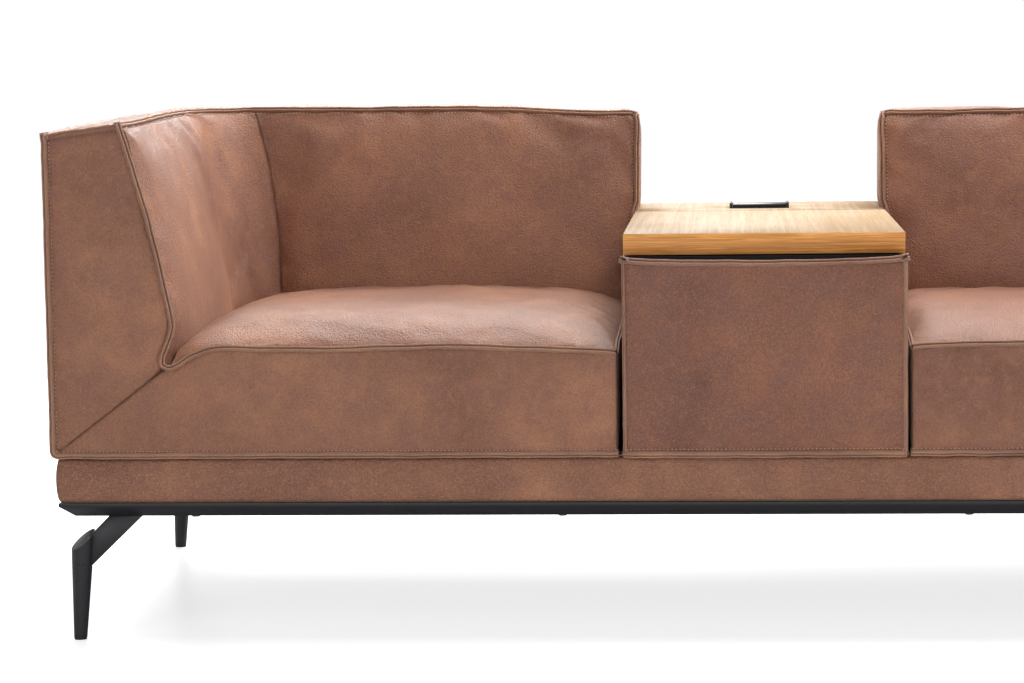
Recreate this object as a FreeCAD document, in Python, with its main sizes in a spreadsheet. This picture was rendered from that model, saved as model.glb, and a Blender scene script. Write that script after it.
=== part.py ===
import FreeCAD, Part
import math
import os
import re
import Sketcher
from FreeCAD import Vector

# Two-seater sofa with a storage console between the seats.
# Origin on the floor under the middle of the sofa, the front towards -Y, +X to the
# right for someone who looks at the front, +Z up. Millimetres.
# "out" is the distance from the middle plane, the same on the left and right sides.

# Driving dimensions
SIZES = {
    "overall_width": 2120,
    "overall_depth": 920,
    # Steel base
    "foot_clearance": 189,
    "bar_height": 22,
    "bar_width": 70,
    "bar_lip": 5,
    "bar_bevel": 21,
    "foot_inset_x": 29.5,
    "foot_inset_front": 38.5,
    "foot_inset_rear": 41,
    "foot_radius": 10,
    "leg_top_radius": 18,
    "leg_tall_side": 165,
    "leg_short_side": 139,
    "glide_height": 3,
    "glide_radius": 9.5,
    "strut_thickness": 14,
    "strut_width": 47,
    "strut_reach": 101.5,
    "strut_tongue": 8,
    # Timber base and plinth
    "plinth_inset": 8,
    "plinth_height": 69,
    "leather_skin": 8,
    "base_rail_width": 40,
    "cloth_thickness": 2,
    "screw_radius": 3,
    "screw_fit": 0.1,
    "screw_head_radius": 6,
    "screw_head_height": 3,
    "screw_grip": 45,
    "screw_out_inner": 300,
    "screw_strut_gap": 79,
    # Seats
    "front_padding": 20,
    "seat_panel_height": 161,
    "seat_crown": 50,
    "seat_front_board": 22,
    "webbing_width": 60,
    "webbing_thickness": 3,
    "webbing_count": 6,
    "foam_height": 117,
    "mitre_rise": 133,
    "mitre_width": 176,
    "console_gap": 10,
    "soft_gap": 0.3,
    # Arms and backs
    "arm_rise": 336,
    "top_fall": 15,
    "arm_top_width": 116,
    "arm_middle_width": 167,
    "arm_middle_rise": 152,
    "arm_seat_width": 190,
    "arm_seat_rise": 36,
    "arm_board": 40,
    "back_board": 40,
    "board_rise": 296,
    "back_top_depth": 262,
    "back_seat_depth": 310,
    "corner_radius": 95,
    "corner_seam_inset": 45,
    # Console
    "console_width": 412,
    "back_gap": 1,
    "console_cover_drop": 3,
    "console_rear_inset": 8,
    "box_board": 16,
    "box_height": 292,
    "lid_lift": 2,
    "lid_thickness": 31,
    "lid_front_inset": 28,
    "lid_rear_inset": 42,
    "lid_split_depth": 615,
    "lid_split_gap": 5,
    "lid_edge_bevel": 1.5,
    "pad_size": 12,
    "pad_running_gap": 0.3,
    # Hinge
    "hinge_length": 380,
    "hinge_axis_drop": 2.6,
    "knuckle_radius": 2.2,
    "hinge_pin_radius": 1.2,
    "pin_running_gap": 0.05,
    "leaf_thickness": 1.2,
    "leaf_height": 24,
    "knuckle_gap": 0.5,
    "knuckle_count": 5,
    # Cable outlet
    "port_width": 99,
    "port_depth": 64,
    "port_front_depth": 684,
    "port_rim": 2,
    "port_height": 9,
    "port_cheek": 4.5,
    "port_neck_width": 82,
    "port_neck_depth": 42,
    "port_wall": 2,
    "flap_thickness": 4.2,
    "flap_clearance": 0.5,
    "trunnion_radius": 1.5,
    "trunnion_length": 2.2,
}

# Places worked out from the driving dimensions
PLACES = {
    "half_width": "overall_width / 2",
    "half_depth": "overall_depth / 2",
    "bar_top": "foot_clearance + bar_height",
    "base_top": "bar_top + plinth_height",
    "bar_out": "half_width - plinth_inset",
    "bar_reach": "half_depth - plinth_inset",
    "bar_inner_out": "bar_out - bar_width",
    "bar_inner_reach": "bar_reach - bar_width",
    "timber_out": "bar_out - leather_skin",
    "timber_reach": "bar_reach - leather_skin",
    "screw_line": "timber_reach - base_rail_width * 2 / 3",
    "foot_out": "half_width - foot_inset_x",
    "leg_outer": "foot_out + foot_radius",
    "leg_inner": "leg_outer - 2 * leg_top_radius",
    "leg_top_out": "leg_outer - leg_top_radius",
    "strut_seat": "leg_inner + strut_tongue",
    "strut_end_out": "leg_outer - strut_reach - leg_top_radius / 2",
    "front_leg_y": "-half_depth + foot_inset_front",
    "rear_leg_y": "half_depth - foot_inset_rear",
    "seam_height": "base_top + seat_panel_height",
    "panel_back": "-half_depth + front_padding",
    "cover_reach": "half_depth - leather_skin",
    "console_out": "console_width / 2",
    "seat_inner": "console_out + console_gap",
    "back_inner": "console_out + back_gap",
    "arm_seat_out": "half_width - arm_seat_width",
    "corner_seam_out": "arm_seat_out - corner_seam_inset",
    "mitre_out": "half_width - mitre_width",
    "arm_middle_out": "half_width - arm_middle_width",
    "arm_top_out": "half_width - arm_top_width",
    "arm_top": "seam_height + arm_rise",
    "arm_seat_level": "seam_height + arm_seat_rise",
    "arm_middle_level": "seam_height + arm_middle_rise",
    "arm_outer_top": "arm_top - top_fall",
    "board_top": "seam_height + board_rise",
    "mitre_top": "base_top + mitre_rise",
    "arm_board_outer": "half_width - leather_skin",
    "arm_board_inner": "arm_board_outer - arm_board",
    "back_top_y": "half_depth - back_top_depth",
    "back_seat_y": "half_depth - back_seat_depth",
    "back_board_front": "cover_reach - back_board",
    "foam_bottom": "base_top + webbing_thickness",
    "foam_top": "foam_bottom + foam_height",
    "foam_front": "panel_back + seat_front_board",
    "webbing_run": "back_seat_y - corner_radius - foam_front - webbing_width",
    "console_reach": "half_depth - console_rear_inset",
    "box_out": "console_out - leather_skin",
    "box_inner": "box_out - box_board",
    "box_top": "base_top + box_height",
    "console_top": "box_top - console_cover_drop",
    "lid_bottom": "box_top + lid_lift",
    "lid_top": "lid_bottom + lid_thickness",
    "lid_front": "-half_depth + lid_front_inset",
    "lid_rear": "half_depth - lid_rear_inset",
    "split_y": "-half_depth + lid_split_depth",
    "hinge_z": "lid_top - hinge_axis_drop",
    "leaf_top": "hinge_z - knuckle_radius - pad_running_gap",
    "port_front": "-half_depth + port_front_depth",
    "port_middle": "port_front + port_depth / 2",
    "port_top": "lid_top + port_height",
    "cheek_inner": "port_width / 2 - port_cheek",
    "flap_axis_y": "port_front + port_depth - port_rim - flap_thickness / 2",
    "flap_axis_z": "lid_top + port_rim + flap_clearance + flap_thickness / 2",
}

# Sections of a seat cushion from the console to the arm: share of the way, share of
# the crown, and how far the front lip is drawn in
CUSHION_SECTIONS = (
    (0.0, 0.42, 6.0),
    (0.03, 0.66, 3.0),
    (0.12, 0.88, 1.5),
    (0.32, 1.0, 1.0),
    (0.62, 1.0, 1.0),
    (0.84, 0.88, 1.5),
    (0.96, 0.72, 3.0),
    (1.0, 0.56, 6.0),
)
# Heights of a cushion above its seam, as shares of its crest
CUSHION_REAR = 0.8
CUSHION_SHOULDER = 0.72

LEFT = -1
RIGHT = 1
SIDE_NAMES = {LEFT: "left", RIGHT: "right"}

doc = FreeCAD.newDocument("Sofa")
sheet = doc.addObject("Spreadsheet::Sheet", "Sizes")
nodes = []


def fill_sheet():
    """Write every driving dimension and every worked-out place with its alias."""
    rows = {name: str(number) for name, number in SIZES.items()}
    rows.update({name: "=" + formula for name, formula in PLACES.items()})
    for row, (name, text) in enumerate(rows.items(), start=1):
        sheet.set(f"A{row}", name)
        sheet.set(f"B{row}", text)
        sheet.setAlias(f"B{row}", name)
    doc.recompute()


def bound(formula):
    """Turn a formula of plain size names into one that reads the sheet."""
    return re.sub(r"[a-z][a-z_]*", lambda word: "Sizes." + word.group(), formula)


def value(name):
    """Read one size or place from the sheet."""
    return float(sheet.get(name))


def keep(piece, name):
    """Give a finished sub-part its own label and list it for export."""
    piece.Label = name
    nodes.append(piece)
    return piece


def block(name, outs, ys, zs, side=RIGHT):
    """Box between two outs, two Ys and two heights."""
    piece = doc.addObject("Part::Box", name)
    start = outs[0] if side == RIGHT else f"-({outs[1]})"
    piece.setExpression("Length", bound(f"({outs[1]}) - ({outs[0]})"))
    piece.setExpression("Width", bound(f"({ys[1]}) - ({ys[0]})"))
    piece.setExpression("Height", bound(f"({zs[1]}) - ({zs[0]})"))
    piece.setExpression("Placement.Base.x", bound(start))
    piece.setExpression("Placement.Base.y", bound(ys[0]))
    piece.setExpression("Placement.Base.z", bound(zs[0]))
    return piece


def prism(name, plane, outline, start, end, side=RIGHT):
    """Padded sketch with straight edges, from start to end along the plane's normal.

    The outline's points are pairs of formulas. On the XZ and XY planes the first of
    each pair is an out, which the side turns to the left or to the right.
    """
    body = doc.addObject("PartDesign::Body", name)
    origin_plane = next(f for f in body.Origin.OriginFeatures if f.Role == plane)
    sketch = body.newObject("Sketcher::SketchObject", name + "_sketch")
    sketch.AttachmentSupport = [(origin_plane, "")]
    sketch.MapMode = "FlatFace"
    count = len(outline)
    turn = "-1 * " if side == LEFT and plane != "YZ_Plane" else ""
    for index in range(count):
        angle = 2 * math.pi * index / count
        following = 2 * math.pi * (index + 1) / count
        first = Vector(math.cos(angle), math.sin(angle), 0)
        second = Vector(math.cos(following), math.sin(following), 0)
        sketch.addGeometry(Part.LineSegment(first, second), False)
    for index in range(count):
        sketch.addConstraint(Sketcher.Constraint("Coincident", index, 2, (index + 1) % count, 1))
    for index, (across, along) in enumerate(outline):
        point = sketch.Geometry[index].StartPoint
        level = sketch.addConstraint(Sketcher.Constraint("DistanceX", -1, 1, index, 1, point.x))
        sketch.setExpression(f"Constraints[{level}]", bound(f"{turn}({across})"))
        level = sketch.addConstraint(Sketcher.Constraint("DistanceY", -1, 1, index, 1, point.y))
        sketch.setExpression(f"Constraints[{level}]", bound(along))
    offset = f"-({end})" if plane == "XZ_Plane" else start
    sketch.setExpression("AttachmentOffset.Base.z", bound(offset))
    pad = body.newObject("PartDesign::Pad", name + "_pad")
    pad.Profile = sketch
    pad.setExpression("Length", bound(f"({end}) - ({start})"))
    return body


def rod(name, radius, length, centre, along="Z", side=RIGHT):
    """Cylinder from its centre point along Z, or along +X."""
    piece = doc.addObject("Part::Cylinder", name)
    piece.setExpression("Radius", bound(radius))
    piece.setExpression("Height", bound(length))
    if along == "X":
        piece.Placement.Rotation = FreeCAD.Rotation(Vector(0, 1, 0), 90)
    turn = "-1 * " if side == LEFT else ""
    piece.setExpression("Placement.Base.x", bound(f"{turn}({centre[0]})"))
    piece.setExpression("Placement.Base.y", bound(centre[1]))
    piece.setExpression("Placement.Base.z", bound(centre[2]))
    return piece


def cut(name, base, tool):
    """The base with the tool's shape taken away."""
    piece = doc.addObject("Part::Cut", name)
    piece.Base = base
    piece.Tool = tool
    return piece


def common(name, base, tool):
    """What the base and the tool share."""
    piece = doc.addObject("Part::Common", name)
    piece.Base = base
    piece.Tool = tool
    return piece


def fuse(name, pieces):
    """One solid from pieces that touch."""
    piece = doc.addObject("Part::MultiFuse", name)
    piece.Shapes = pieces
    return piece


def group(name, pieces):
    """Separate solids that share one node."""
    piece = doc.addObject("Part::Compound", name)
    piece.Links = pieces
    return piece


def coded(name, shape):
    """A feature whose shape is made in code from the sheet's sizes."""
    piece = doc.addObject("Part::Feature", name)
    piece.Shape = shape
    return piece


# Steel base: four mitred bars, four legs, four struts, glides and screws

def screw_places():
    """Out, Y and side of each screw that holds the steel base to the timber."""
    for end in ("-1", "1"):
        for out in ("screw_out_inner", "strut_end_out - screw_strut_gap"):
            for side in (LEFT, RIGHT):
                yield out, f"{end} * screw_line", side


def screw_group(name, radius, length, bottom):
    """One rod at every screw place, for the screws and for their holes."""
    rods = []
    for index, (out, across, side) in enumerate(screw_places()):
        rods.append(rod(f"{name}_{index}", radius, length, (out, across, bottom), side=side))
    return group(name, rods)


def bar_profile(face):
    """Section of a bar, outer edge first: upright lip over a long bevel."""
    return [
        (face, "bar_top"),
        (face, "bar_top - bar_lip"),
        (f"{face} - bar_bevel", "foot_clearance"),
        (f"{face} - bar_width", "foot_clearance"),
        (f"{face} - bar_width", "bar_top"),
    ]


def make_bars(holes):
    """Four flat bars, mitred at the corners, with the bevel outwards and below."""
    long_plan = [
        ("-1 * bar_out", "bar_reach"),
        ("bar_out", "bar_reach"),
        ("bar_inner_out", "bar_inner_reach"),
        ("-1 * bar_inner_out", "bar_inner_reach"),
    ]
    short_plan = [
        ("bar_out", "-1 * bar_reach"),
        ("bar_out", "bar_reach"),
        ("bar_inner_out", "bar_inner_reach"),
        ("bar_inner_out", "-1 * bar_inner_reach"),
    ]
    for name, sign in (("front", "-1"), ("rear", "1")):
        section = [(f"{sign} * ({y})", z) for y, z in bar_profile("bar_reach")]
        plan = [(x, f"{sign} * ({y})") for x, y in long_plan]
        length = prism(f"bar_section_{name}", "YZ_Plane", section, "-1 * bar_out", "bar_out")
        mitre = prism(f"bar_plan_{name}", "XY_Plane", plan, "foot_clearance", "bar_top")
        bar = common(f"bar_{name}", length, mitre)
        keep(cut(f"drilled_bar_{name}", bar, holes), f"frame_bar_{name}")
    for side, name in SIDE_NAMES.items():
        section = bar_profile("bar_out")
        length = prism(
            f"bar_section_{name}", "XZ_Plane", section, "-1 * bar_reach", "bar_reach", side
        )
        mitre = prism(f"bar_plan_{name}", "XY_Plane", short_plan, "foot_clearance", "bar_top", side)
        keep(common(f"bar_{name}", length, mitre), f"frame_bar_{name}")


def circle(name, radius, centre, side):
    """Level circle, an end of a leg's loft."""
    ring = doc.addObject("Part::Circle", name)
    turn = "-1 * " if side == LEFT else ""
    ring.setExpression("Radius", bound(radius))
    ring.setExpression("Placement.Base.x", bound(f"{turn}({centre[0]})"))
    ring.setExpression("Placement.Base.y", bound(centre[1]))
    ring.setExpression("Placement.Base.z", bound(centre[2]))
    return ring


def make_leg(end, centre_y, side):
    """Round leg with an upright outer side, a slanted top and a slot for its strut."""
    name = f"{end}_{SIDE_NAMES[side]}"
    taper = doc.addObject("Part::Loft", f"leg_taper_{name}")
    foot = circle(f"leg_foot_{name}", "foot_radius", ("foot_out", centre_y, "glide_height"), side)
    top = circle(
        f"leg_top_{name}", "leg_top_radius", ("leg_top_out", centre_y, "leg_tall_side"), side
    )
    taper.Sections = [foot, top]
    taper.Solid = True
    taper.Ruled = True
    slant = [
        ("leg_outer", "leg_short_side"),
        ("leg_inner", "leg_tall_side"),
        ("leg_inner", "bar_top"),
        ("leg_outer + foot_radius", "bar_top"),
        ("leg_outer + foot_radius", "leg_short_side"),
    ]
    reach = "leg_top_radius * 2"
    sky = prism(
        f"leg_slant_{name}", "XZ_Plane", slant,
        f"{centre_y} - {reach}", f"{centre_y} + {reach}", side,
    )
    half = "strut_thickness / 2"
    slot = block(
        f"leg_slot_{name}",
        ("leg_inner - foot_radius", "strut_seat"),
        (f"{centre_y} - {half}", f"{centre_y} + {half}"),
        ("leg_tall_side - strut_width - strut_tongue", "bar_top"),
        side,
    )
    topped = cut(f"leg_topped_{name}", taper, sky)
    keep(cut(f"leg_slotted_{name}", topped, slot), f"leg_{name}")


def make_strut(end, centre_y, side):
    """Slanted flat strut from a leg's slot up to the underside of the bar."""
    name = f"{end}_{SIDE_NAMES[side]}"
    fall = "(leg_tall_side - leg_short_side) / (2 * leg_top_radius) * strut_tongue"
    outline = [
        ("strut_seat", "leg_tall_side - strut_width - strut_tongue"),
        ("strut_seat", f"leg_tall_side - {fall}"),
        ("leg_inner", "leg_tall_side"),
        ("leg_inner - (foot_clearance - leg_tall_side)", "foot_clearance"),
        ("strut_end_out", "foot_clearance"),
    ]
    half = "strut_thickness / 2"
    return prism(
        f"strut_{name}", "XZ_Plane", outline,
        f"{centre_y} - {half}", f"{centre_y} + {half}", side,
    )


def make_steel_base():
    """Bars, legs, struts, glides and screws."""
    holes = screw_group("bar_holes", "screw_radius + screw_fit", "bar_height", "foot_clearance")
    make_bars(holes)
    struts = []
    glides = []
    for end, centre_y in (("front", "front_leg_y"), ("rear", "rear_leg_y")):
        for side, name in SIDE_NAMES.items():
            make_leg(end, centre_y, side)
            struts.append(make_strut(end, centre_y, side))
            glides.append(
                rod(
                    f"glide_{end}_{name}", "glide_radius", "glide_height",
                    ("foot_out", centre_y, "0"), side=side,
                )
            )
    keep(group("strut_group", struts), "leg_struts")
    keep(group("glide_group", glides), "foot_glides")
    screws = []
    for index, (out, across, side) in enumerate(screw_places()):
        under = "foot_clearance - screw_head_height"
        head = rod(
            f"screw_head_{index}", "screw_head_radius", "screw_head_height",
            (out, across, under), side=side,
        )
        shank = rod(
            f"screw_shank_{index}", "screw_radius", "screw_grip",
            (out, across, "foot_clearance"), side=side,
        )
        screws.append(fuse(f"screw_{index}", [head, shank]))
    keep(group("screw_set", screws), "frame_screws")


# Timber base, dust cloth and the leather plinth round it

def make_timber_base():
    """Two long rails, six cross rails and the cloth below them."""
    holes = screw_group(
        "timber_holes", "screw_radius", "screw_grip - bar_height", "bar_top"
    )
    heights = ("bar_top", "base_top")
    full = ("-1 * timber_out", "timber_out")
    inner = "timber_reach - base_rail_width"
    front = block("rail_front", full, ("-1 * timber_reach", f"-1 * ({inner})"), heights)
    rear = block("rail_rear", full, (inner, "timber_reach"), heights)
    keep(cut("drilled_rail_front", front, holes), "base_rail_front")
    keep(cut("drilled_rail_rear", rear, holes), "base_rail_rear")
    crossings = []
    spans = {
        "end": ("timber_out - base_rail_width", "timber_out"),
        "arm": ("arm_seat_out - base_rail_width", "arm_seat_out"),
        "console": ("box_inner - base_rail_width / 4", "box_inner + base_rail_width * 3 / 4"),
    }
    for side, name in SIDE_NAMES.items():
        for place, outs in spans.items():
            crossings.append(
                block(f"cross_{place}_{name}", outs, (f"-1 * ({inner})", inner), heights, side)
            )
    keep(group("cross_rail_group", crossings), "base_cross_rails")
    keep(
        block(
            "cloth",
            ("-1 * bar_inner_out", "bar_inner_out"),
            ("-1 * bar_inner_reach", "bar_inner_reach"),
            ("bar_top - cloth_thickness", "bar_top"),
        ),
        "dust_cloth",
    )


def make_plinth():
    """Leather panels round the timber base, the front one seamed in the middle."""
    heights = ("bar_top", "base_top")
    for side, name in SIDE_NAMES.items():
        keep(
            block(
                f"plinth_front_{name}", ("0", "bar_out"),
                ("-1 * bar_reach", "-1 * timber_reach"), heights, side,
            ),
            f"plinth_cover_front_{name}",
        )
        keep(
            block(
                f"plinth_{name}", ("timber_out", "bar_out"),
                ("-1 * timber_reach", "timber_reach"), heights, side,
            ),
            f"plinth_cover_{name}",
        )
    keep(
        block(
            "plinth_rear", ("-1 * bar_out", "bar_out"), ("timber_reach", "bar_reach"), heights
        ),
        "plinth_cover_rear",
    )


# The space that a sitter takes up, which shapes the arm, the back and the cushion

def space_outline(arm_out, back_y, level, side, gap):
    """Level outline of the sitting space with its rounded rear corner."""
    radius = value("corner_radius")
    near = value("console_out") / 2
    front = -value("overall_depth")
    arm_out = arm_out - gap
    back_y = back_y - gap
    middle_out = arm_out - radius + radius * math.sqrt(0.5)
    middle_y = back_y - radius + radius * math.sqrt(0.5)
    front_near = Vector(side * near, front, level)
    rear_near = Vector(side * near, back_y, level)
    bend_start = Vector(side * (arm_out - radius), back_y, level)
    bend_middle = Vector(side * middle_out, middle_y, level)
    bend_end = Vector(side * arm_out, back_y - radius, level)
    front_far = Vector(side * arm_out, front, level)
    return Part.Wire([
        Part.makeLine(front_near, rear_near),
        Part.makeLine(rear_near, bend_start),
        Part.Arc(bend_start, bend_middle, bend_end).toShape(),
        Part.makeLine(bend_end, front_far),
        Part.makeLine(front_far, front_near),
    ])


def sitting_space(side, gap=0.0):
    """Solid of the sitting space, wider and deeper towards the top."""
    seat_y = value("back_seat_y")
    top_y = value("back_top_y")
    seat_level = value("arm_seat_level")
    top_level = value("arm_top")
    lean = (top_y - seat_y) / (top_level - seat_level)
    flare = (value("arm_top_out") - value("arm_middle_out")) / (
        top_level - value("arm_middle_level")
    )
    over = value("top_fall")
    stations = [
        (value("arm_seat_out"), seat_y, value("bar_top")),
        (value("arm_seat_out"), seat_y, seat_level),
        (
            value("arm_middle_out"),
            seat_y + lean * (value("arm_middle_level") - seat_level),
            value("arm_middle_level"),
        ),
        (value("arm_top_out") + flare * over, top_y + lean * over, top_level + over),
    ]
    outlines = [space_outline(*station, side, gap) for station in stations]
    return Part.makeLoft(outlines, True, True)


# Seats

def cushion_outline(out, rise, draw_in, side):
    """Upright section of the seat cushion from front to back at one out."""
    lip_y = -value("half_depth") + draw_in
    panel_y = value("panel_back") + value("soft_gap")
    back_y = value("back_seat_y")
    seam = value("seam_height") + value("soft_gap")
    low = value("foam_top")
    crest_y = back_y - value("corner_radius")
    crest = value("seam_height") + rise
    back_level = seam + (crest - seam) * CUSHION_REAR
    shoulder_y = (lip_y * 2 + crest_y) / 3
    shoulder = seam + (crest - seam) * CUSHION_SHOULDER

    def at(y, z):
        return Vector(side * out, y, z)

    return Part.Wire([
        Part.Arc(at(lip_y, seam), at(shoulder_y, shoulder), at(crest_y, crest)).toShape(),
        Part.makeLine(at(crest_y, crest), at(back_y, back_level)),
        Part.makeLine(at(back_y, back_level), at(back_y, low)),
        Part.makeLine(at(back_y, low), at(panel_y, low)),
        Part.makeLine(at(panel_y, low), at(panel_y, seam)),
        Part.makeLine(at(panel_y, seam), at(lip_y, seam)),
    ])


def make_cushion(side):
    """Crowned cushion, lower and drawn in towards its two ends."""
    crown = value("seat_crown")
    draw = value("soft_gap")
    start = value("seat_inner")
    end = value("arm_seat_out") + draw
    outlines = []
    for share, height, draw_in in CUSHION_SECTIONS:
        out = start + (end - start) * share
        outlines.append(cushion_outline(out, crown * height, draw_in, side))
    return Part.makeLoft(outlines, True, False)


def make_seat(side):
    """Front board, foam, crowned cushion and leather front of one seat."""
    name = SIDE_NAMES[side]
    inner = "seat_inner + leather_skin"
    keep(
        block(
            f"seat_board_{name}", (inner, "arm_seat_out"), ("panel_back", "foam_front"),
            ("base_top", "foam_top"), side,
        ),
        f"seat_front_rail_{name}",
    )
    roomy = coded(f"soft_space_{name}", sitting_space(side, value("soft_gap")))
    foam = block(
        f"foam_block_{name}", (inner, "arm_seat_out"), ("foam_front", "back_seat_y"),
        ("foam_bottom", "foam_top"), side,
    )
    keep(common(f"foam_{name}", foam, roomy), f"seat_foam_{name}")
    cushion = coded(f"cushion_loft_{name}", make_cushion(side))
    keep(common(f"cushion_{name}", cushion, roomy), f"seat_cushion_{name}")
    front = [
        ("half_width", "base_top"),
        ("mitre_out", "mitre_top"),
        ("arm_seat_out - corner_radius / 4", "seam_height - leather_skin"),
        ("arm_seat_out - corner_radius * 2 / 3", "seam_height"),
        ("seat_inner", "seam_height"),
        ("seat_inner", "base_top"),
    ]
    face = prism(
        f"seat_face_{name}", "XZ_Plane", front, "-1 * half_depth", "panel_back", side
    )
    wrap = block(
        f"seat_wrap_{name}", ("seat_inner", inner), ("panel_back", "back_seat_y"),
        ("base_top", "foam_top"), side,
    )
    keep(fuse(f"seat_front_{name}", [face, wrap]), f"seat_front_panel_{name}")


def make_webbing():
    """Elastic straps across both seats, lying on the cross rails."""
    straps = []
    for side, name in SIDE_NAMES.items():
        for index in range(int(value("webbing_count"))):
            low = f"foam_front + {index} * webbing_run / webbing_count"
            straps.append(
                block(
                    f"strap_{name}_{index}",
                    ("seat_inner + leather_skin", "arm_seat_out"),
                    (low, f"{low} + webbing_width"),
                    ("base_top", "foam_bottom"),
                    side,
                )
            )
    keep(group("strap_group", straps), "seat_webbing")


# Arms and backs

def make_arm(side, space, slope, arm_board, back_board):
    """Arm board, thick inner pad with the top, front panel and outer cover."""
    name = SIDE_NAMES[side]
    keep(arm_board, f"arm_board_{name}")
    section = [
        ("corner_seam_out", "base_top"),
        ("arm_board_outer", "base_top"),
        ("arm_board_outer", "arm_outer_top + top_fall * leather_skin / arm_top_width"),
        ("arm_top_out", "arm_top"),
        ("corner_seam_out", "arm_top"),
    ]
    mass = prism(f"arm_mass_{name}", "XZ_Plane", section, "panel_back", "cover_reach", side)
    sloped = common(f"arm_sloped_{name}", mass, slope)
    around = cut(f"arm_round_board_{name}", sloped, arm_board)
    around_both = cut(f"arm_round_boards_{name}", around, back_board)
    keep(cut(f"arm_lining_{name}", around_both, space), f"arm_pad_{name}")
    front = [
        ("half_width", "base_top"),
        ("half_width", "arm_outer_top"),
        ("arm_top_out", "arm_top"),
        ("arm_middle_out", "arm_middle_level"),
        ("arm_seat_out", "arm_seat_level"),
        ("mitre_out", "mitre_top"),
    ]
    keep(
        prism(f"arm_face_{name}", "XZ_Plane", front, "-1 * half_depth", "panel_back", side),
        f"arm_front_panel_{name}",
    )
    keep(
        block(
            f"arm_outside_{name}", ("arm_board_outer", "half_width"),
            ("panel_back", "half_depth"), ("base_top", "arm_outer_top"), side,
        ),
        f"arm_outer_cover_{name}",
    )


def make_back(side, space, slope, back_board):
    """Back board, thick raked pad with the top, and rear cover."""
    name = SIDE_NAMES[side]
    keep(back_board, f"back_board_{name}")
    mass = block(
        f"back_mass_{name}", ("back_inner", "corner_seam_out"),
        ("back_seat_y", "cover_reach"), ("base_top", "arm_top"), side,
    )
    sloped = common(f"back_sloped_{name}", mass, slope)
    around = cut(f"back_round_board_{name}", sloped, back_board)
    keep(cut(f"back_lining_{name}", around, space), f"back_pad_{name}")
    keep(
        block(
            f"back_rear_{name}", ("back_inner", "arm_board_outer"),
            ("cover_reach", "half_depth"), ("base_top", "arm_outer_top"), side,
        ),
        f"back_rear_cover_{name}",
    )


def make_shell(side):
    """Everything that stands round one seat."""
    name = SIDE_NAMES[side]
    space = coded(f"space_{name}", sitting_space(side))
    slope_section = [
        ("-1 * half_depth", "base_top"),
        ("cover_reach", "base_top"),
        ("cover_reach", "arm_outer_top + top_fall * leather_skin / back_top_depth"),
        ("back_top_y", "arm_top"),
        ("-1 * half_depth", "arm_top"),
    ]
    ends = ("0", "half_width") if side == RIGHT else ("-1 * half_width", "0")
    slope = prism(f"slope_{name}", "YZ_Plane", slope_section, *ends)
    arm_board = block(
        f"arm_timber_{name}", ("arm_board_inner", "arm_board_outer"),
        ("panel_back", "cover_reach"), ("base_top", "board_top"), side,
    )
    back_board = block(
        f"back_timber_{name}", ("back_inner + base_rail_width", "arm_board_inner"),
        ("back_board_front", "cover_reach"), ("base_top", "board_top"), side,
    )
    make_arm(side, space, slope, arm_board, back_board)
    make_back(side, space, slope, back_board)


# Console: storage box, leather covers, fixed top and hinged lid

def make_box():
    """Five boards that make the storage box."""
    inside = ("-1 * box_inner", "box_inner")
    rear = "console_reach - leather_skin"
    keep(
        block(
            "box_floor", inside, ("panel_back", rear), ("base_top", "base_top + box_board")
        ),
        "console_floor",
    )
    heights = ("base_top + box_board", "box_top")
    front_board = block("box_front", inside, ("panel_back", "panel_back + box_board"), heights)
    rear_board = block("box_rear", inside, (f"{rear} - box_board", rear), heights)
    keep(group("box_ends", [front_board, rear_board]), "console_end_boards")
    for side, name in SIDE_NAMES.items():
        keep(
            block(
                f"box_{name}", ("box_inner", "box_out"), ("panel_back", rear),
                ("base_top", "box_top"), side,
            ),
            f"console_board_{name}",
        )
        keep(
            block(
                f"console_leather_{name}", ("box_out", "console_out"),
                ("panel_back", "console_reach"), ("base_top", "console_top"), side,
            ),
            f"console_cover_{name}",
        )
    keep(
        block(
            "console_face", ("-1 * console_out", "console_out"),
            ("-1 * half_depth", "panel_back"), ("base_top", "console_top"),
        ),
        "console_cover_front",
    )
    keep(
        block(
            "console_tail", ("-1 * box_out", "box_out"), (rear, "console_reach"),
            ("base_top", "console_top"),
        ),
        "console_cover_rear",
    )


def make_pads():
    """Small buffers between the box and the two parts of the top."""
    places = {
        "front": ("lid_front + pad_size", "lid_bottom - pad_running_gap"),
        "middle": ("split_y - 4 * pad_size", "lid_bottom - pad_running_gap"),
        "fixed_front": ("split_y + 3 * pad_size", "lid_bottom"),
        "fixed_rear": ("lid_rear - 3 * pad_size", "lid_bottom"),
    }
    buffers = []
    for side, name in SIDE_NAMES.items():
        for place, (low, top) in places.items():
            buffers.append(
                block(
                    f"buffer_{place}_{name}", ("box_inner", "box_inner + pad_size"),
                    (low, f"{low} + pad_size"), ("box_top", top), side,
                )
            )
    keep(group("buffer_group", buffers), "lid_buffers")


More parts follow.
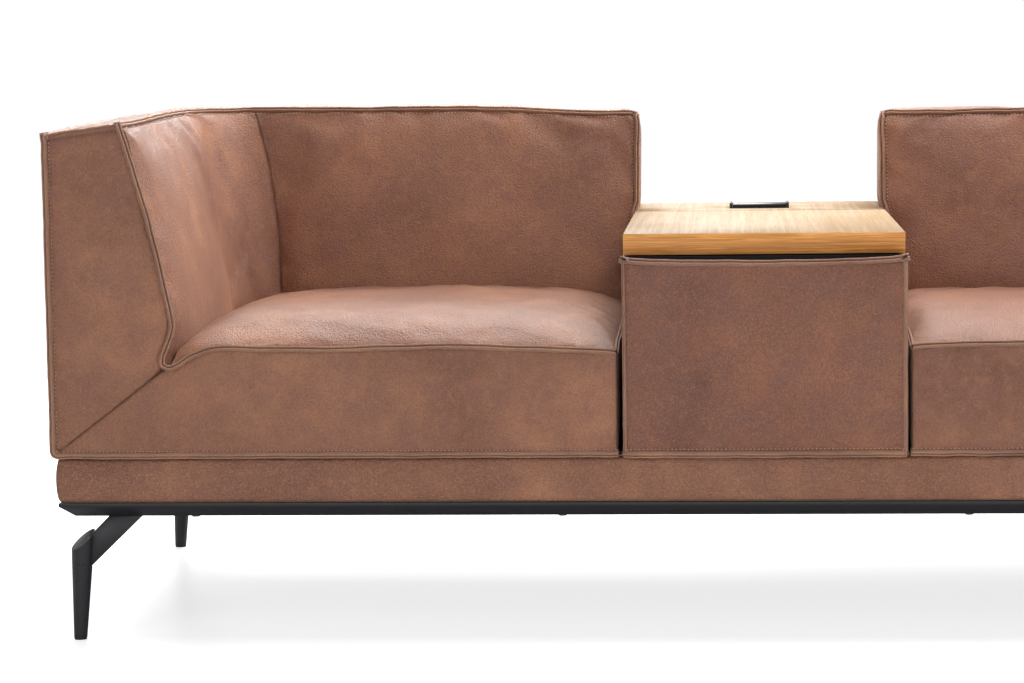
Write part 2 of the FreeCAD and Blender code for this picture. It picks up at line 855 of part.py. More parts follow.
def make_lid():
    """Fixed rear part with the outlet's hole, and the hinged front part."""
    across = ("-1 * console_out", "console_out")
    rear_edge = "split_y + lid_split_gap / 2"
    front_edge = "split_y - lid_split_gap / 2"
    rear_outline = [
        (rear_edge, "lid_bottom"),
        ("lid_rear", "lid_bottom"),
        ("lid_rear", "lid_top"),
        (f"{rear_edge} + lid_edge_bevel", "lid_top"),
        (rear_edge, "lid_top - lid_edge_bevel"),
    ]
    front_outline = [
        ("lid_front", "lid_bottom"),
        (front_edge, "lid_bottom"),
        (front_edge, "lid_top - lid_edge_bevel"),
        (f"{front_edge} - lid_edge_bevel", "lid_top"),
        ("lid_front", "lid_top"),
    ]
    rear = prism("top_rear", "YZ_Plane", rear_outline, *across)
    hole = block(
        "outlet_hole", ("-1 * port_neck_width / 2", "port_neck_width / 2"),
        ("port_middle - port_neck_depth / 2", "port_middle + port_neck_depth / 2"),
        ("lid_bottom", "lid_top"),
    )
    keep(cut("top_rear_holed", rear, hole), "console_top_rear")
    keep(prism("top_front", "YZ_Plane", front_outline, *across), "console_lid")


def make_leaf(name, face, other_face, share):
    """One hinge leaf with its knuckles, bored for the pin.

    The share picks the knuckles: 0 takes the first, third and fifth, 1 the others.
    """
    half = "hinge_length / 2"
    plate = block(
        f"{name}_plate", (f"-1 * {half}", half), (face, other_face),
        ("leaf_top - leaf_height", "leaf_top"),
    )
    pieces = [plate]
    for index in range(share, int(value("knuckle_count")), 2):
        start = f"-1 * {half} + {index} * hinge_length / knuckle_count + knuckle_gap / 2"
        length = "hinge_length / knuckle_count - knuckle_gap"
        pieces.append(
            rod(
                f"{name}_knuckle_{index}", "knuckle_radius", length,
                (start, "split_y", "hinge_z"), along="X",
            )
        )
        pieces.append(
            block(
                f"{name}_neck_{index}", (start, f"{start} + {length}"), (face, other_face),
                ("leaf_top", "hinge_z"),
            )
        )
    bore = rod(
        f"{name}_bore", "hinge_pin_radius + pin_running_gap", "hinge_length",
        (f"-1 * {half}", "split_y", "hinge_z"), along="X",
    )
    return cut(name, fuse(f"{name}_solid", pieces), bore)


def make_hinge():
    """Long hinge with its axis just under the top's surface, in the split."""
    gap = "lid_split_gap / 2"
    fixed = make_leaf("leaf_rear", f"split_y + {gap} - leaf_thickness", f"split_y + {gap}", 0)
    moving = make_leaf("leaf_front", f"split_y - {gap}", f"split_y - {gap} + leaf_thickness", 1)
    keep(fixed, "hinge_leaf_fixed")
    keep(moving, "hinge_leaf_moving")
    keep(
        rod(
            "hinge_rod", "hinge_pin_radius", "hinge_length",
            ("-1 * hinge_length / 2", "split_y", "hinge_z"), along="X",
        ),
        "hinge_pin",
    )


def make_outlet():
    """Cable outlet in the fixed top: rim, cheeks, neck and a flap on trunnions."""
    half = "port_width / 2"
    rear = "port_front + port_depth"
    neck_low = "port_middle - port_neck_depth / 2"
    neck_high = "port_middle + port_neck_depth / 2"
    rim = block(
        "outlet_rim", (f"-1 * {half}", half), ("port_front", rear),
        ("lid_top", "lid_top + port_rim"),
    )
    neck = block(
        "outlet_neck", ("-1 * port_neck_width / 2", "port_neck_width / 2"),
        (neck_low, neck_high), ("lid_bottom", "lid_top"),
    )
    cheeks = []
    for side, name in SIDE_NAMES.items():
        cheeks.append(
            block(
                f"outlet_cheek_{name}", ("cheek_inner", half), ("port_front", rear),
                ("lid_top", "port_top"), side,
            )
        )
    inside = block(
        "outlet_passage",
        ("-1 * port_neck_width / 2 + port_wall", "port_neck_width / 2 - port_wall"),
        (f"{neck_low} + port_wall", f"{neck_high} - port_wall"),
        ("lid_bottom", "lid_top + port_rim"),
    )
    reach = "cheek_inner + trunnion_length + flap_clearance"
    sockets = rod(
        "outlet_sockets", "trunnion_radius + pin_running_gap", f"2 * ({reach})",
        (f"-1 * ({reach})", "flap_axis_y", "flap_axis_z"), along="X",
    )
    housing = fuse("outlet_solid", [rim, neck] + cheeks)
    passage = cut("outlet_open", housing, inside)
    keep(cut("outlet_bored", passage, sockets), "cable_port_frame")
    edge = "cheek_inner - flap_clearance"
    plate = block(
        "flap_plate", (f"-1 * ({edge})", edge), ("port_front", "flap_axis_y"),
        ("flap_axis_z - flap_thickness / 2", "flap_axis_z + flap_thickness / 2"),
    )
    barrel = rod(
        "flap_barrel", "flap_thickness / 2", f"2 * ({edge})",
        (f"-1 * ({edge})", "flap_axis_y", "flap_axis_z"), along="X",
    )
    pin_reach = "cheek_inner + trunnion_length"
    trunnions = rod(
        "flap_trunnions", "trunnion_radius", f"2 * ({pin_reach})",
        (f"-1 * ({pin_reach})", "flap_axis_y", "flap_axis_z"), along="X",
    )
    keep(fuse("flap_solid", [plate, barrel, trunnions]), "cable_flap")


def check_document():
    """Stop with the names of whatever failed to build."""
    for thing in doc.Objects:
        if "Invalid" in thing.State or "Error" in thing.State:
            raise RuntimeError(f"{thing.Label} failed: {thing.State}")
    for piece in nodes:
        if piece.Shape.isNull() or not piece.Shape.isValid():
            raise RuntimeError(f"{piece.Label} has no valid shape")
        if not piece.Shape.Solids:
            raise RuntimeError(f"{piece.Label} holds no solid")


def export():
    """Write one file for each sub-part."""
    os.makedirs("parts", exist_ok=True)
    for piece in nodes:
        piece.Shape.exportStep(f"parts/{piece.Label}.step")
    print(f"{len(nodes)} sub-parts written")


fill_sheet()
make_steel_base()
make_timber_base()
make_plinth()
for seat_side in (LEFT, RIGHT):
    make_seat(seat_side)
    make_shell(seat_side)
make_webbing()
make_box()
make_pads()
make_lid()
make_hinge()
make_outlet()
doc.recompute()
check_document()
export()
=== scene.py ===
"""Looks of a two-seater leather sofa with a storage console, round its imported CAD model.

Lengths are in metres. "out" is the distance from the middle plane x = 0, the same for
the left and the right half. The front faces -Y and +Z is up.
"""

import logging
import math
from dataclasses import dataclass, field
from enum import Enum
from typing import Callable, Optional, Sequence

import bmesh
import bpy
import numpy as np
from mathutils import Matrix, Vector
from mathutils.bvhtree import BVHTree


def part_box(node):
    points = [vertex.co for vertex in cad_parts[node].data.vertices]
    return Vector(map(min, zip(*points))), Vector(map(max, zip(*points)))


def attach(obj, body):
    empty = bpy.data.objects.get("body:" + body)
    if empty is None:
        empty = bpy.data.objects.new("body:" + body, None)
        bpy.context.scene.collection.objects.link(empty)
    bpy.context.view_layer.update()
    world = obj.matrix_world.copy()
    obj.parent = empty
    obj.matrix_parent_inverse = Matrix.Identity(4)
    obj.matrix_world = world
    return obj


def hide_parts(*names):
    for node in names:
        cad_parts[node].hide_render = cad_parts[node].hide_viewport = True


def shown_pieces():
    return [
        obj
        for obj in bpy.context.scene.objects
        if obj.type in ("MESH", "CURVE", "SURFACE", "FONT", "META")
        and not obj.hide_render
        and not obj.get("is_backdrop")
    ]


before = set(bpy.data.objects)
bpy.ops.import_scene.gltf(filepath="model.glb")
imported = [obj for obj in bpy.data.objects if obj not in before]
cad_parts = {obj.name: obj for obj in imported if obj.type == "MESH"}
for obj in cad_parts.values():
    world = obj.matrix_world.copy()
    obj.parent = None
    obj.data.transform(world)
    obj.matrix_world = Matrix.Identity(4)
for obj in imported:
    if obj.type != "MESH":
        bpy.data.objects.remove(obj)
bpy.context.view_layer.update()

log = logging.getLogger("sofa")
Array = np.ndarray
Triple = tuple[float, float, float]
Pair = tuple[float, float]
Table = tuple[Pair, ...]
Span = Pair
Inputs = dict[int | str, object]

MM = 0.001
# First step of a grid beside a seam
FINE = 2.2 * MM
# Length of a quarter of an ellipse against the sum of its half axes
QUARTER_ROUND = 0.8
UP = np.array([0.0, 0.0, 1.0])
FRONT = np.array([0.0, -1.0, 0.0])
REAR = -FRONT
OUTWARD = np.array([1.0, 0.0, 0.0])
INWARD = -OUTWARD


class Side(Enum):
    """The two halves of the sofa."""

    LEFT = -1
    RIGHT = 1

    @property
    def word(self) -> str:
        """Name of the side as the CAD nodes spell it."""
        return self.name.lower()


def per_side(left: object, right: object) -> object:
    """A dataclass field that holds one value for each side."""
    return field(default_factory=lambda: {Side.LEFT: left, Side.RIGHT: right})


class Panel(Enum):
    """Leather panels, each cut from another part of the hide."""

    ARM_OUTSIDE = 0.10
    ARM_INSIDE = 0.23
    ARM_FRONT = 0.37
    WALL_TOP = 0.49
    BACK_INSIDE = 0.61
    BACK_REAR = 0.74
    BACK_END = 0.88
    SEAT_FRONT = 1.03
    SEAT_TOP = 1.17
    SEAT_SIDE = 1.29
    CONSOLE = 1.46
    PLINTH = 1.62
    WELT = 1.80


class Join(Enum):
    """How two leather panels meet."""

    WELTED = "a raised seam that pulls the leather in"
    FLAT = "a thin flat seam"
    ROLLED = "no seam, the leather turns over a soft edge"


# Small geometry helpers


def ladder(
    length: float, coarse: float, first: float = FINE, last: float = FINE, growth: float = 1.6
) -> Array:
    """Shares from 0 to 1 whose steps are short at the ends and long between them.

    Args:
        length: Length that the shares stand for.
        coarse: Longest step.
        first: First step.
        last: Last step.
        growth: How much longer each step is than the one nearer to its end.

    Returns:
        The shares in order, 0 and 1 included.
    """
    ends = []
    for fine in (first, last):
        places, step = [0.0], fine
        while step < coarse and places[-1] + step < length * 0.4:
            places.append(places[-1] + step)
            step *= growth
        ends.append(places)
    near, far = ends
    gap = length - near[-1] - far[-1]
    count = max(1, math.ceil(gap / coarse))
    middle = [near[-1] + gap * index / count for index in range(1, count)]
    return np.array(near + middle + [length - place for place in reversed(far)]) / length


def look_up(table: Table, place: float) -> float:
    """Value of a table of places and values, straight between its rows."""
    return float(np.interp(place, [row[0] for row in table], [row[1] for row in table]))


def ripple(points: Array, wavelength: float, seed: int) -> Array:
    """Smooth unevenness between about -1 and 1, the same on every run.

    Args:
        points: Places in space, one row each.
        wavelength: Typical distance from crest to crest.
        seed: Picks the pattern.

    Returns:
        One value for each point.
    """
    draw = np.random.default_rng(seed)
    waves = 9
    directions = draw.normal(size=(waves, 3))
    directions /= np.linalg.norm(directions, axis=1)[:, None]
    rates = 2 * math.pi / wavelength * draw.uniform(0.6, 1.5, waves)
    phases = draw.uniform(0, 2 * math.pi, waves)
    return np.sin(points @ (directions * rates[:, None]).T + phases).sum(axis=1) / 3


def unit(vectors: Array) -> Array:
    """The same direction or directions with length one."""
    return vectors / np.linalg.norm(vectors, axis=-1, keepdims=True)


def eased(value: float, span: Span = (0.0, 1.0)) -> float:
    """Go from 0 to 1 without corners, over a span given by its start and its length."""
    held = min(max((value - span[0]) / span[1], 0.0), 1.0)
    return held * held * (3 - 2 * held)


def stepped(steps: Sequence[Triple], place: float) -> float:
    """Sum of soft steps, each given by its size, its start and its length."""
    return sum(size * eased(place, (start, length)) for size, start, length in steps)


def fade(distance: float, reach: float) -> float:
    """1 at no distance, falling towards 0 over a few times the reach."""
    return math.exp(-distance / reach)


def bell(distance: float, width: float) -> float:
    """1 at no distance, falling on both sides towards 0 past the width."""
    return math.exp(-((distance / width) ** 2))


def in_mm(*rows: Pair) -> Table:
    """A table with places in metres and values written in millimetres."""
    return tuple((place, value * MM) for place, value in rows)


def columns(rows: Sequence[tuple]) -> list[Array]:
    """One array for each part of the rows."""
    return [np.array(part) for part in zip(*rows)]


def turned(points: Array, side: Side) -> Array:
    """Points or directions with their out turned to the side's x."""
    moved = np.array(points, float)
    moved[..., 0] *= side.value
    return moved


def rounded_off(first: float, second: float, radius: float) -> Pair:
    """Round a square corner.

    Args:
        first: Distance of a point from the corner's first side.
        second: Its distance from the second side.
        radius: Radius of the rounding.

    Returns:
        The two distances of the moved point.
    """
    if first >= radius or second >= radius:
        return first, second
    across, up = radius - first, radius - second
    scale = max(across, up) / max(math.hypot(across, up), 1e-9)
    return radius - across * scale, radius - up * scale


@dataclass
class Border:
    """A border of a panel, as one of its points sees it."""

    distance: float  # How far the point lies from the border
    beyond: Optional[Array] = None  # Direction that the panel on the other side of the border faces
    join: Join = Join.WELTED  # How the two panels meet
    depth: float = 5 * MM  # Depth of the seam, or radius of a rolled edge

    @property
    def gap(self) -> float:
        """The distance, never below zero."""
        return max(self.distance, 0.0)


def nearest(borders: Sequence[Border]) -> float:
    """Distance of the nearest border."""
    return min(border.gap for border in borders)


@dataclass(frozen=True)
class Softness:
    """How a panel swells between its seams."""

    reach: float = 17 * MM  # How far from a seam the panel takes to rise
    groove_reach: float = 3.0 * MM  # Half width of the narrow groove beside a welt
    groove_share: float = 0.6  # Share of the seam's depth that the narrow groove takes
    flat_reach: float = 1.3 * MM  # Half width of a flat seam's groove
    shift_reach: float = 5 * MM  # How far from a seam the leather is drawn sideways
    free_reach: float = 25 * MM  # How far from a seam the leather takes to come loose
    uneven: float = 1.2 * MM  # Height of the broad waves in the leather
    wavelength: float = 190 * MM  # Length of those waves
    finer: float = 0.3  # Share of the waves that are a quarter as long
    pucker: float = 0.5 * MM  # Height of the short waves along a seam
    pucker_length: float = 26 * MM  # Length of the short waves

    def sunk(self, gap: float, depth: float) -> float:
        """How deep the leather lies at a distance from a raised seam."""
        broad = (1 - self.groove_share) * fade(gap, self.reach)
        return depth * (broad + self.groove_share * fade(gap, self.groove_reach))

    def creased(self, gap: float, depth: float) -> float:
        """How deep the leather lies at a distance from a flat seam."""
        return depth * fade(gap, self.flat_reach)

    def risen(self, gap: float) -> float:
        """Share of the swell that is reached at a distance from the nearest border."""
        return 1 - fade(gap, 4 * self.reach)

    def loose(self, gap: float) -> float:
        """0 on a seam and 1 well away from it."""
        return 1 - fade(gap, self.free_reach)

    def place(self, base: Array, facing: Array, borders: Sequence[Border], swell: float) -> Array:
        """Move one point of a panel's plane to where the padded leather is.

        Args:
            base: The point on the panel's flat plane.
            facing: Direction that the panel faces.
            borders: The borders near the point.
            swell: How far the panel's middle stands proud of its plane.

        Returns:
            The moved point.
        """
        moved = base.copy()
        fall = 0.0
        for border in borders:
            gap = border.gap
            if border.join is Join.WELTED:
                fall = max(fall, self.sunk(gap, border.depth))
                moved -= border.beyond * border.depth * fade(gap, self.shift_reach)
            elif border.join is Join.FLAT:
                fall = max(fall, self.creased(gap, border.depth))
            elif gap < border.depth:
                across = border.depth - gap
                share = 1 - border.depth / math.hypot(across, border.depth)
                moved -= (border.beyond * across + facing * border.depth) * share
        rise = swell * self.risen(nearest(borders))
        return moved + facing * (rise - fall)

    def ruffle(self, points: Array, facings: Array, free: Array, seed: int) -> Array:
        """Add unevenness that fades out at the seams.

        Args:
            points: Grid of placed points.
            facings: Direction that the panel faces, one for all or one for each.
            free: 0 at a seam, 1 well away from it.
            seed: Picks the pattern.

        Returns:
            The grid with the unevenness added and, as a fourth value, how free each point is.
        """
        flat = points.reshape(-1, 3)
        ways = np.broadcast_to(facings, points.shape).reshape(-1, 3)
        hold = np.asarray(free).reshape(-1)
        waves = ripple(flat, self.wavelength, seed)
        waves += self.finer * ripple(flat, self.wavelength / 4, seed + 1)
        puckers = ripple(flat, self.pucker_length, seed + 2) * self.pucker * hold * (1 - hold) * 4
        moved = flat + ways * (self.uneven * waves * hold + puckers)[:, None]
        return np.column_stack([moved, hold]).reshape(*points.shape[:2], 4)


class Draft:
    """A mesh in the making: grids of points, each with a panel number."""

    def __init__(self) -> None:
        """Start with nothing."""
        self.mesh = bmesh.new()
        self.panels = self.mesh.faces.layers.float.new("panel")
        self.free = self.mesh.verts.layers.float.new("free")

    def grid(self, rows: Array, panel: Panel) -> None:
        """Add a grid of points as quads.

        Args:
            rows: Points by row and column: x, y, z and, if given, how free of seams each is.
            panel: Which piece of the hide the grid belongs to.
        """
        corners = []
        for row in rows:
            corners.append([self.mesh.verts.new(point[:3]) for point in row])
            for corner, point in zip(corners[-1], row):
                corner[self.free] = point[3] if len(point) > 3 else 0.0
        for upper, lower in zip(corners, corners[1:]):
            for index in range(len(upper) - 1):
                loop = (upper[index], upper[index + 1], lower[index + 1], lower[index])
                face = self.mesh.faces.new(loop)
                face[self.panels] = panel.value
                face.smooth = True

    def finish(self, name: str, material: bpy.types.Material) -> bpy.types.Object:
        """Join the grids where they meet and make an object of them.

        Args:
            name: Name of the new object.
            material: Its material.

        Returns:
            The object, linked to the scene.
        """
        bmesh.ops.remove_doubles(self.mesh, verts=self.mesh.verts, dist=0.02 * MM)
        bmesh.ops.dissolve_degenerate(self.mesh, edges=self.mesh.edges, dist=0.01 * MM)
        bmesh.ops.recalc_face_normals(self.mesh, faces=self.mesh.faces)
        data = bpy.data.meshes.new(name)
        self.mesh.to_mesh(data)
        self.mesh.free()
        data.materials.append(material)
        return new_object(name, data)


def new_object(name: str, data: bpy.types.ID) -> bpy.types.Object:
    """Make an object and link it to the scene."""
    thing = bpy.data.objects.new(name, data)
    bpy.context.scene.collection.objects.link(thing)
    return thing


def apply_modifiers(thing: bpy.types.Object) -> None:
    """Turn an object with modifiers into a plain mesh.

    Args:
        thing: The object.
    """
    graph = bpy.context.evaluated_depsgraph_get()
    plain = bpy.data.meshes.new_from_object(thing.evaluated_get(graph))
    thing.modifiers.clear()
    thing.data = plain


def smooth_once(thing: bpy.types.Object) -> None:
    """Subdivide a mesh once and keep the result."""
    modifier = thing.modifiers.new("smooth", "SUBSURF")
    modifier.levels = modifier.render_levels = 1
    apply_modifiers(thing)


def coordinates(data: bpy.types.Mesh) -> Array:
    """Places of a mesh's points, one row each."""
    flat = np.empty(len(data.vertices) * 3)
    data.vertices.foreach_get("co", flat)
    return flat.reshape(-1, 3)


@dataclass(frozen=True)
class Settling:
    """Cloth simulation that lets sewn leather settle over its padding."""

    steps: int = 14  # Steps of the simulation
    pressure: float = 0.4  # Push of the padding from inside
    slack: float = 0.010  # How much larger than its place the leather was cut
    stiffness: float = 40.0  # Resistance of the leather to stretching
    cap: float = 4 * MM  # Farthest that a point may move
    held: float = 0.10  # Points less free of seams than this don't move

    def run(self, thing: bpy.types.Object) -> None:
        """Settle a piece whose points know how free of seams they are.

        Args:
            thing: The piece.
        """
        free = np.empty(len(thing.data.vertices))
        thing.data.attributes["free"].data.foreach_get("value", free)
        pins = thing.vertex_groups.new(name="pins")
        pins.add([int(index) for index in np.nonzero(free < self.held)[0]], 1.0, "REPLACE")
        cloth = thing.modifiers.new("settling", "CLOTH")
        leather = cloth.settings
        leather.quality = 4
        leather.tension_stiffness = leather.compression_stiffness = self.stiffness
        leather.shear_stiffness = self.stiffness / 2
        leather.bending_stiffness = 1.0
        leather.air_damping = 3.0
        leather.vertex_group_mass = pins.name
        leather.shrink_min = -self.slack
        leather.use_pressure = True
        leather.uniform_pressure_force = self.pressure
        leather.effector_weights.gravity = 0.0
        cloth.collision_settings.use_collision = False
        cloth.point_cache.frame_start, cloth.point_cache.frame_end = 1, self.steps
        for step in range(1, self.steps + 1):
            bpy.context.scene.frame_set(step)
        graph = bpy.context.evaluated_depsgraph_get()
        before, after = coordinates(thing.data), coordinates(thing.evaluated_get(graph).data)
        moves = after - before
        lengths = np.linalg.norm(moves, axis=1)[:, None] + 1e-9
        log.info("%s moved %.1f mm at most", thing.name, float(lengths.max()) / MM)
        moves *= np.tanh(lengths / self.cap) * self.cap / lengths
        thing.modifiers.clear()
        thing.vertex_groups.clear()
        thing.data.vertices.foreach_set("co", (before + moves).ravel())
        thing.data.update()
        bpy.context.scene.frame_set(1)


# Finishes


def socket(tree: bpy.types.NodeTree, name: str, kind: str, way: str, value: float = 0.0) -> None:
    """Add a named socket to a node group.

    Args:
        tree: The node group.
        name: The socket's name.
        kind: Float, Vector, Geometry and so on.
        way: INPUT or OUTPUT.
        value: Default of a number.
    """
    made = tree.interface.new_socket(name=name, in_out=way, socket_type=f"NodeSocket{kind}")
    if kind in ("Float", "Int") and way == "INPUT":
        made.default_value = value


Source = bpy.types.NodeSocket


class Wiring:
    """Short way to write a node tree."""

    def __init__(self, tree: bpy.types.NodeTree) -> None:
        """Write into the given tree."""
        self.tree = tree

    def node(
        self, kind: str, inputs: Optional[Inputs] = None, **settings: object
    ) -> bpy.types.Node:
        """Add a node.

        Args:
            kind: Kind of the node.
            inputs: Outputs or constants for some of its inputs, by name or number.
            **settings: Some of the node's own settings.

        Returns:
            The node.
        """
        made = self.tree.nodes.new(kind)
        for name, setting in settings.items():
            setattr(made, name, setting)
        self.fill(made, inputs or {})
        return made

    def fill(self, node: bpy.types.Node, inputs: Inputs) -> None:
        """Feed several inputs of a node, by name or number."""
        for key, source in inputs.items():
            self.feed(source, node.inputs[key])

    def feed(self, source: object, target: Source) -> None:
        """Link an output to an input, or set the input to a constant.

        Args:
            source: An output or a constant.
            target: The input.
        """
        if isinstance(source, Source):
            self.tree.links.new(source, target)
        elif target.type == "RGBA":
            target.default_value = (*source, 1.0)
        else:
            target.default_value = source

    def noise(self, vector: Source, scale: object, detail: float, rough: float = 0.5) -> Source:
        """Noise that is about 0.5 on average.

        Args:
            vector: Where to read the pattern.
            scale: Waves per metre, a number or a socket.
            detail: How many finer layers it has.
            rough: How strong the finer layers are.

        Returns:
            The value output.
        """
        inputs = {"Vector": vector, "Scale": scale, "Detail": detail, "Roughness": rough}
        return self.node("ShaderNodeTexNoise", inputs).outputs["Fac"]

    def maths(self, operation: str, first: object, second: object) -> Source:
        """Calculate with two values."""
        return self.node("ShaderNodeMath", {0: first, 1: second}, operation=operation).outputs[0]

    def remap(
        self, source: Source, low: float, high: float, to_low: float = 0.0, to_high: float = 1.0
    ) -> Source:
        """Stretch a range of values to another, held at its ends."""
        inputs = dict(enumerate((source, low, high, to_low, to_high)))
        return self.node("ShaderNodeMapRange", inputs).outputs["Result"]

    def blend(self, share: object, first: object, second: object) -> Source:
        """Mix two colours by a share between 0 and 1."""
        inputs = {0: share, 6: first, 7: second}
        return self.node("ShaderNodeMix", inputs, data_type="RGBA").outputs[2]

    def added(self, first: object, second: object) -> Source:
        """Sum of two vectors."""
        return self.node("ShaderNodeVectorMath", {0: first, 1: second}, operation="ADD").outputs[0]

    def stretched(self, vector: Source, scale: Triple, turn: Triple = (0, 0, 0)) -> Source:
        """Read a pattern through stretched and turned axes."""
        inputs = {"Vector": vector, "Scale": scale, "Rotation": turn}
        return self.node("ShaderNodeMapping", inputs).outputs[0]

    def bump(
        self, height: Source, strength: float, distance: float, normal: Optional[Source] = None
    ) -> Source:
        """Turn a height into a tilted normal, over another normal if one is given.

        Args:
            height: The height.
            strength: How much of it shows, from 0 to 1.
            distance: Height of its full range in metres.
            normal: Normal to start from.

        Returns:
            The tilted normal.
        """
        inputs = {"Strength": strength, "Distance": distance, "Height": height}
        if normal is not None:
            inputs["Normal"] = normal
        return self.node("ShaderNodeBump", inputs).outputs["Normal"]


class Shelf:
    """Node groups that several materials share, each made once."""

    groups: dict[str, bpy.types.NodeTree] = {}  # Groups made so far

    @classmethod
    def group(
        cls,
        name: str,
        inputs: Sequence[tuple[str, str, float]],
        build: Callable[[Wiring, bpy.types.Node], dict[str, Source]],
    ) -> bpy.types.NodeTree:
        """Fetch a node group, making it the first time.

        Args:
            name: Name of the group.
            inputs: Name, kind and default of each input.
            build: Wires the group and gives its outputs by name.

        Returns:
            The node group.
        """
        if name not in cls.groups:
            tree = bpy.data.node_groups.new(name, "ShaderNodeTree")
            for title, kind, value in inputs:
                socket(tree, title, kind, "INPUT", value)
            wiring = Wiring(tree)
            outputs = build(wiring, wiring.node("NodeGroupInput"))
            for title in outputs:
                socket(tree, title, "Float", "OUTPUT")
            wiring.node("NodeGroupOutput", outputs)
            cls.groups[name] = tree
        return cls.groups[name]


def hide_masks(wiring: Wiring, given: bpy.types.Node) -> dict[str, Source]:
    """Masks of a hide: clouds, speckle, pebble grain, creases and long pull marks.

    Args:
        wiring: Wiring of the group.
        given: The group's input node.

    Returns:
        The masks by name.
    """
    panel, scale = given.outputs["Panel"], given.outputs["Grain Scale"]
    shift = wiring.node("ShaderNodeCombineXYZ", {
        axis: wiring.maths("MULTIPLY", panel, rate) for axis, rate in enumerate((7.3, 3.1, 5.7))
    })
    place = wiring.added(given.outputs["Vector"], shift.outputs[0])
    sway = wiring.maths("MULTIPLY", wiring.noise(place, 160.0, 2.0), 0.004)
    inputs = {"Vector": wiring.added(place, sway), "Scale": scale, "Smoothness": 0.4}
    cells = wiring.node("ShaderNodeTexVoronoi", inputs, feature="SMOOTH_F1")
    pores = wiring.noise(place, wiring.maths("MULTIPLY", scale, 1.7), 2.0)
    slanted = wiring.stretched(place, (1.0, 1.0, 0.3), (0.35, 0.5, 0.6))
    upright = wiring.stretched(place, (1.0, 1.0, 0.10))
    return {
        "Broad": wiring.noise(place, 5.0, 3.0, 0.55),
        "Cloud": wiring.noise(place, 19.0, 5.0, 0.62),
        "Mottle": wiring.noise(place, 62.0, 4.0, 0.6),
        "Speckle": wiring.noise(place, wiring.maths("MULTIPLY", scale, 1.8), 2.0, 0.6),
        "Pebble": wiring.maths("SUBTRACT", wiring.maths("MULTIPLY", pores, 0.6), cells.outputs[0]),
        "Crease": wiring.noise(slanted, wiring.maths("MULTIPLY", scale, 0.4), 3.0),
        "Streak": wiring.noise(upright, 130.0, 4.0, 0.6),
    }


def fleck_masks(wiring: Wiring, given: bpy.types.Node) -> dict[str, Source]:
    """Masks of a coated or moulded surface: fine texture and faint smudges.

    Args:
        wiring: Wiring of the group.
        given: The group's input node.

    Returns:
        The masks by name.
    """
    place = given.outputs["Vector"]
    return {
        "Texture": wiring.noise(place, given.outputs["Texture Scale"], 2.0),
        "Smudge": wiring.noise(place, 14.0, 4.0, 0.6),
    }


def new_material(name: str) -> tuple[bpy.types.Material, Wiring, bpy.types.Node, Source]:
    """Start a material.

    Args:
        name: Name of the material.

    Returns:
        The material, its wiring, its main shader and the place on the object.
    """
    material = bpy.data.materials.new(name)
    material.use_nodes = True
    wiring = Wiring(material.node_tree)
    place = wiring.node("ShaderNodeTexCoord").outputs["Object"]
    return material, wiring, material.node_tree.nodes["Principled BSDF"], place


def shade(colour: Triple, factor: float) -> Triple:
    """A darker or lighter tone of a colour."""
    return tuple(min(1.0, value * factor) for value in colour)


@dataclass(frozen=True)
class LeatherFinish:
    """Soft buffed leather with cloudy colour and a pebble grain."""

    name: str  # Name of the material
    deep: Triple = (0.166, 0.061, 0.034)  # Colour of the darker clouds
    warm: Triple = (0.362, 0.156, 0.082)  # Colour of the lighter clouds
    cool: Triple = (0.220, 0.091, 0.060)  # Colour of the faintly purple patches
    rubbed_and_glint: Triple = (0.50, 0.27, 0.16)  # Colour of the pale specks: rubbed grain tips, and painted glints on the grain
    grain_scale: float = 400.0  # Grains per metre
    grain_height: float = 0.95 * MM  # Height of the grain in metres
    rub: float = 0.45  # How much of the pale specks shows: rubbing and painted glints
    roughness: float = 0.50  # Middle of the roughness
    # Painted shade: the colour is darkened right beside each seam, where shade falls in its groove.
    painted_seam_shade: float = 0.5  # How much darker the leather is right beside a seam
    nap: Triple = (1.0, 0.79, 0.66)  # Tint of the soft glow at flat angles

    def material(self) -> bpy.types.Material:
        """Build the material.

        Returns:
            The material.
        """
        material, wiring, shader, place = new_material(self.name)
        panel, free = (
            wiring.node("ShaderNodeAttribute", attribute_name=name).outputs["Fac"]
            for name in ("panel", "free")
        )
        sockets = (("Vector", "Vector", 0), ("Panel", "Float", 0), ("Grain Scale", "Float", 400))
        inputs = {"Vector": place, "Panel": panel, "Grain Scale": self.grain_scale}
        hide = Shelf.group("hide", sockets, hide_masks)
        mask = wiring.node("ShaderNodeGroup", inputs, node_tree=hide).outputs
        tone = wiring.blend(wiring.remap(mask["Broad"], 0.34, 0.66), self.deep, self.warm)
        for name, low, high, at_low, at_high, colour in (
            ("Cloud", 0.40, 0.62, 0.0, 0.8, self.cool),
            ("Mottle", 0.50, 0.70, 0.0, 0.4, self.warm),
            # Pale specks: partly rubbed grain tips, partly painted glints on the grain.
            ("Speckle", 0.50, 0.72, 0.0, self.rub, self.rubbed_and_glint),
            ("Pebble", -0.42, -0.12, 0.3, 0.0, shade(self.deep, 0.72)),
        ):
            tone = wiring.blend(wiring.remap(mask[name], low, high, at_low, at_high), tone, colour)
        # Painted shade beside the seams, strongest where a point is least free of them.
        beside = wiring.maths("POWER", wiring.maths("SUBTRACT", 1.0, free), 7.0)
        shaded = wiring.maths("MULTIPLY", beside, self.painted_seam_shade)
        low, high = self.roughness - 0.06, self.roughness + 0.08
        grain = wiring.bump(mask["Pebble"], 1.0, self.grain_height)
        creased = wiring.bump(mask["Crease"], 0.5, self.grain_height * 1.6, grain)
        wiring.fill(shader, {
            "Base Color": wiring.blend(shaded, tone, shade(self.deep, 0.45)),
            "Roughness": wiring.remap(mask["Mottle"], 0.3, 0.7, low, high),
            "Normal": wiring.bump(mask["Streak"], 0.35, 1.2 * MM, creased),
            "Specular IOR Level": 0.42,
            "Sheen Weight": 0.22,
            "Sheen Roughness": 0.35,
            "Sheen Tint": self.nap,
        })
        return material


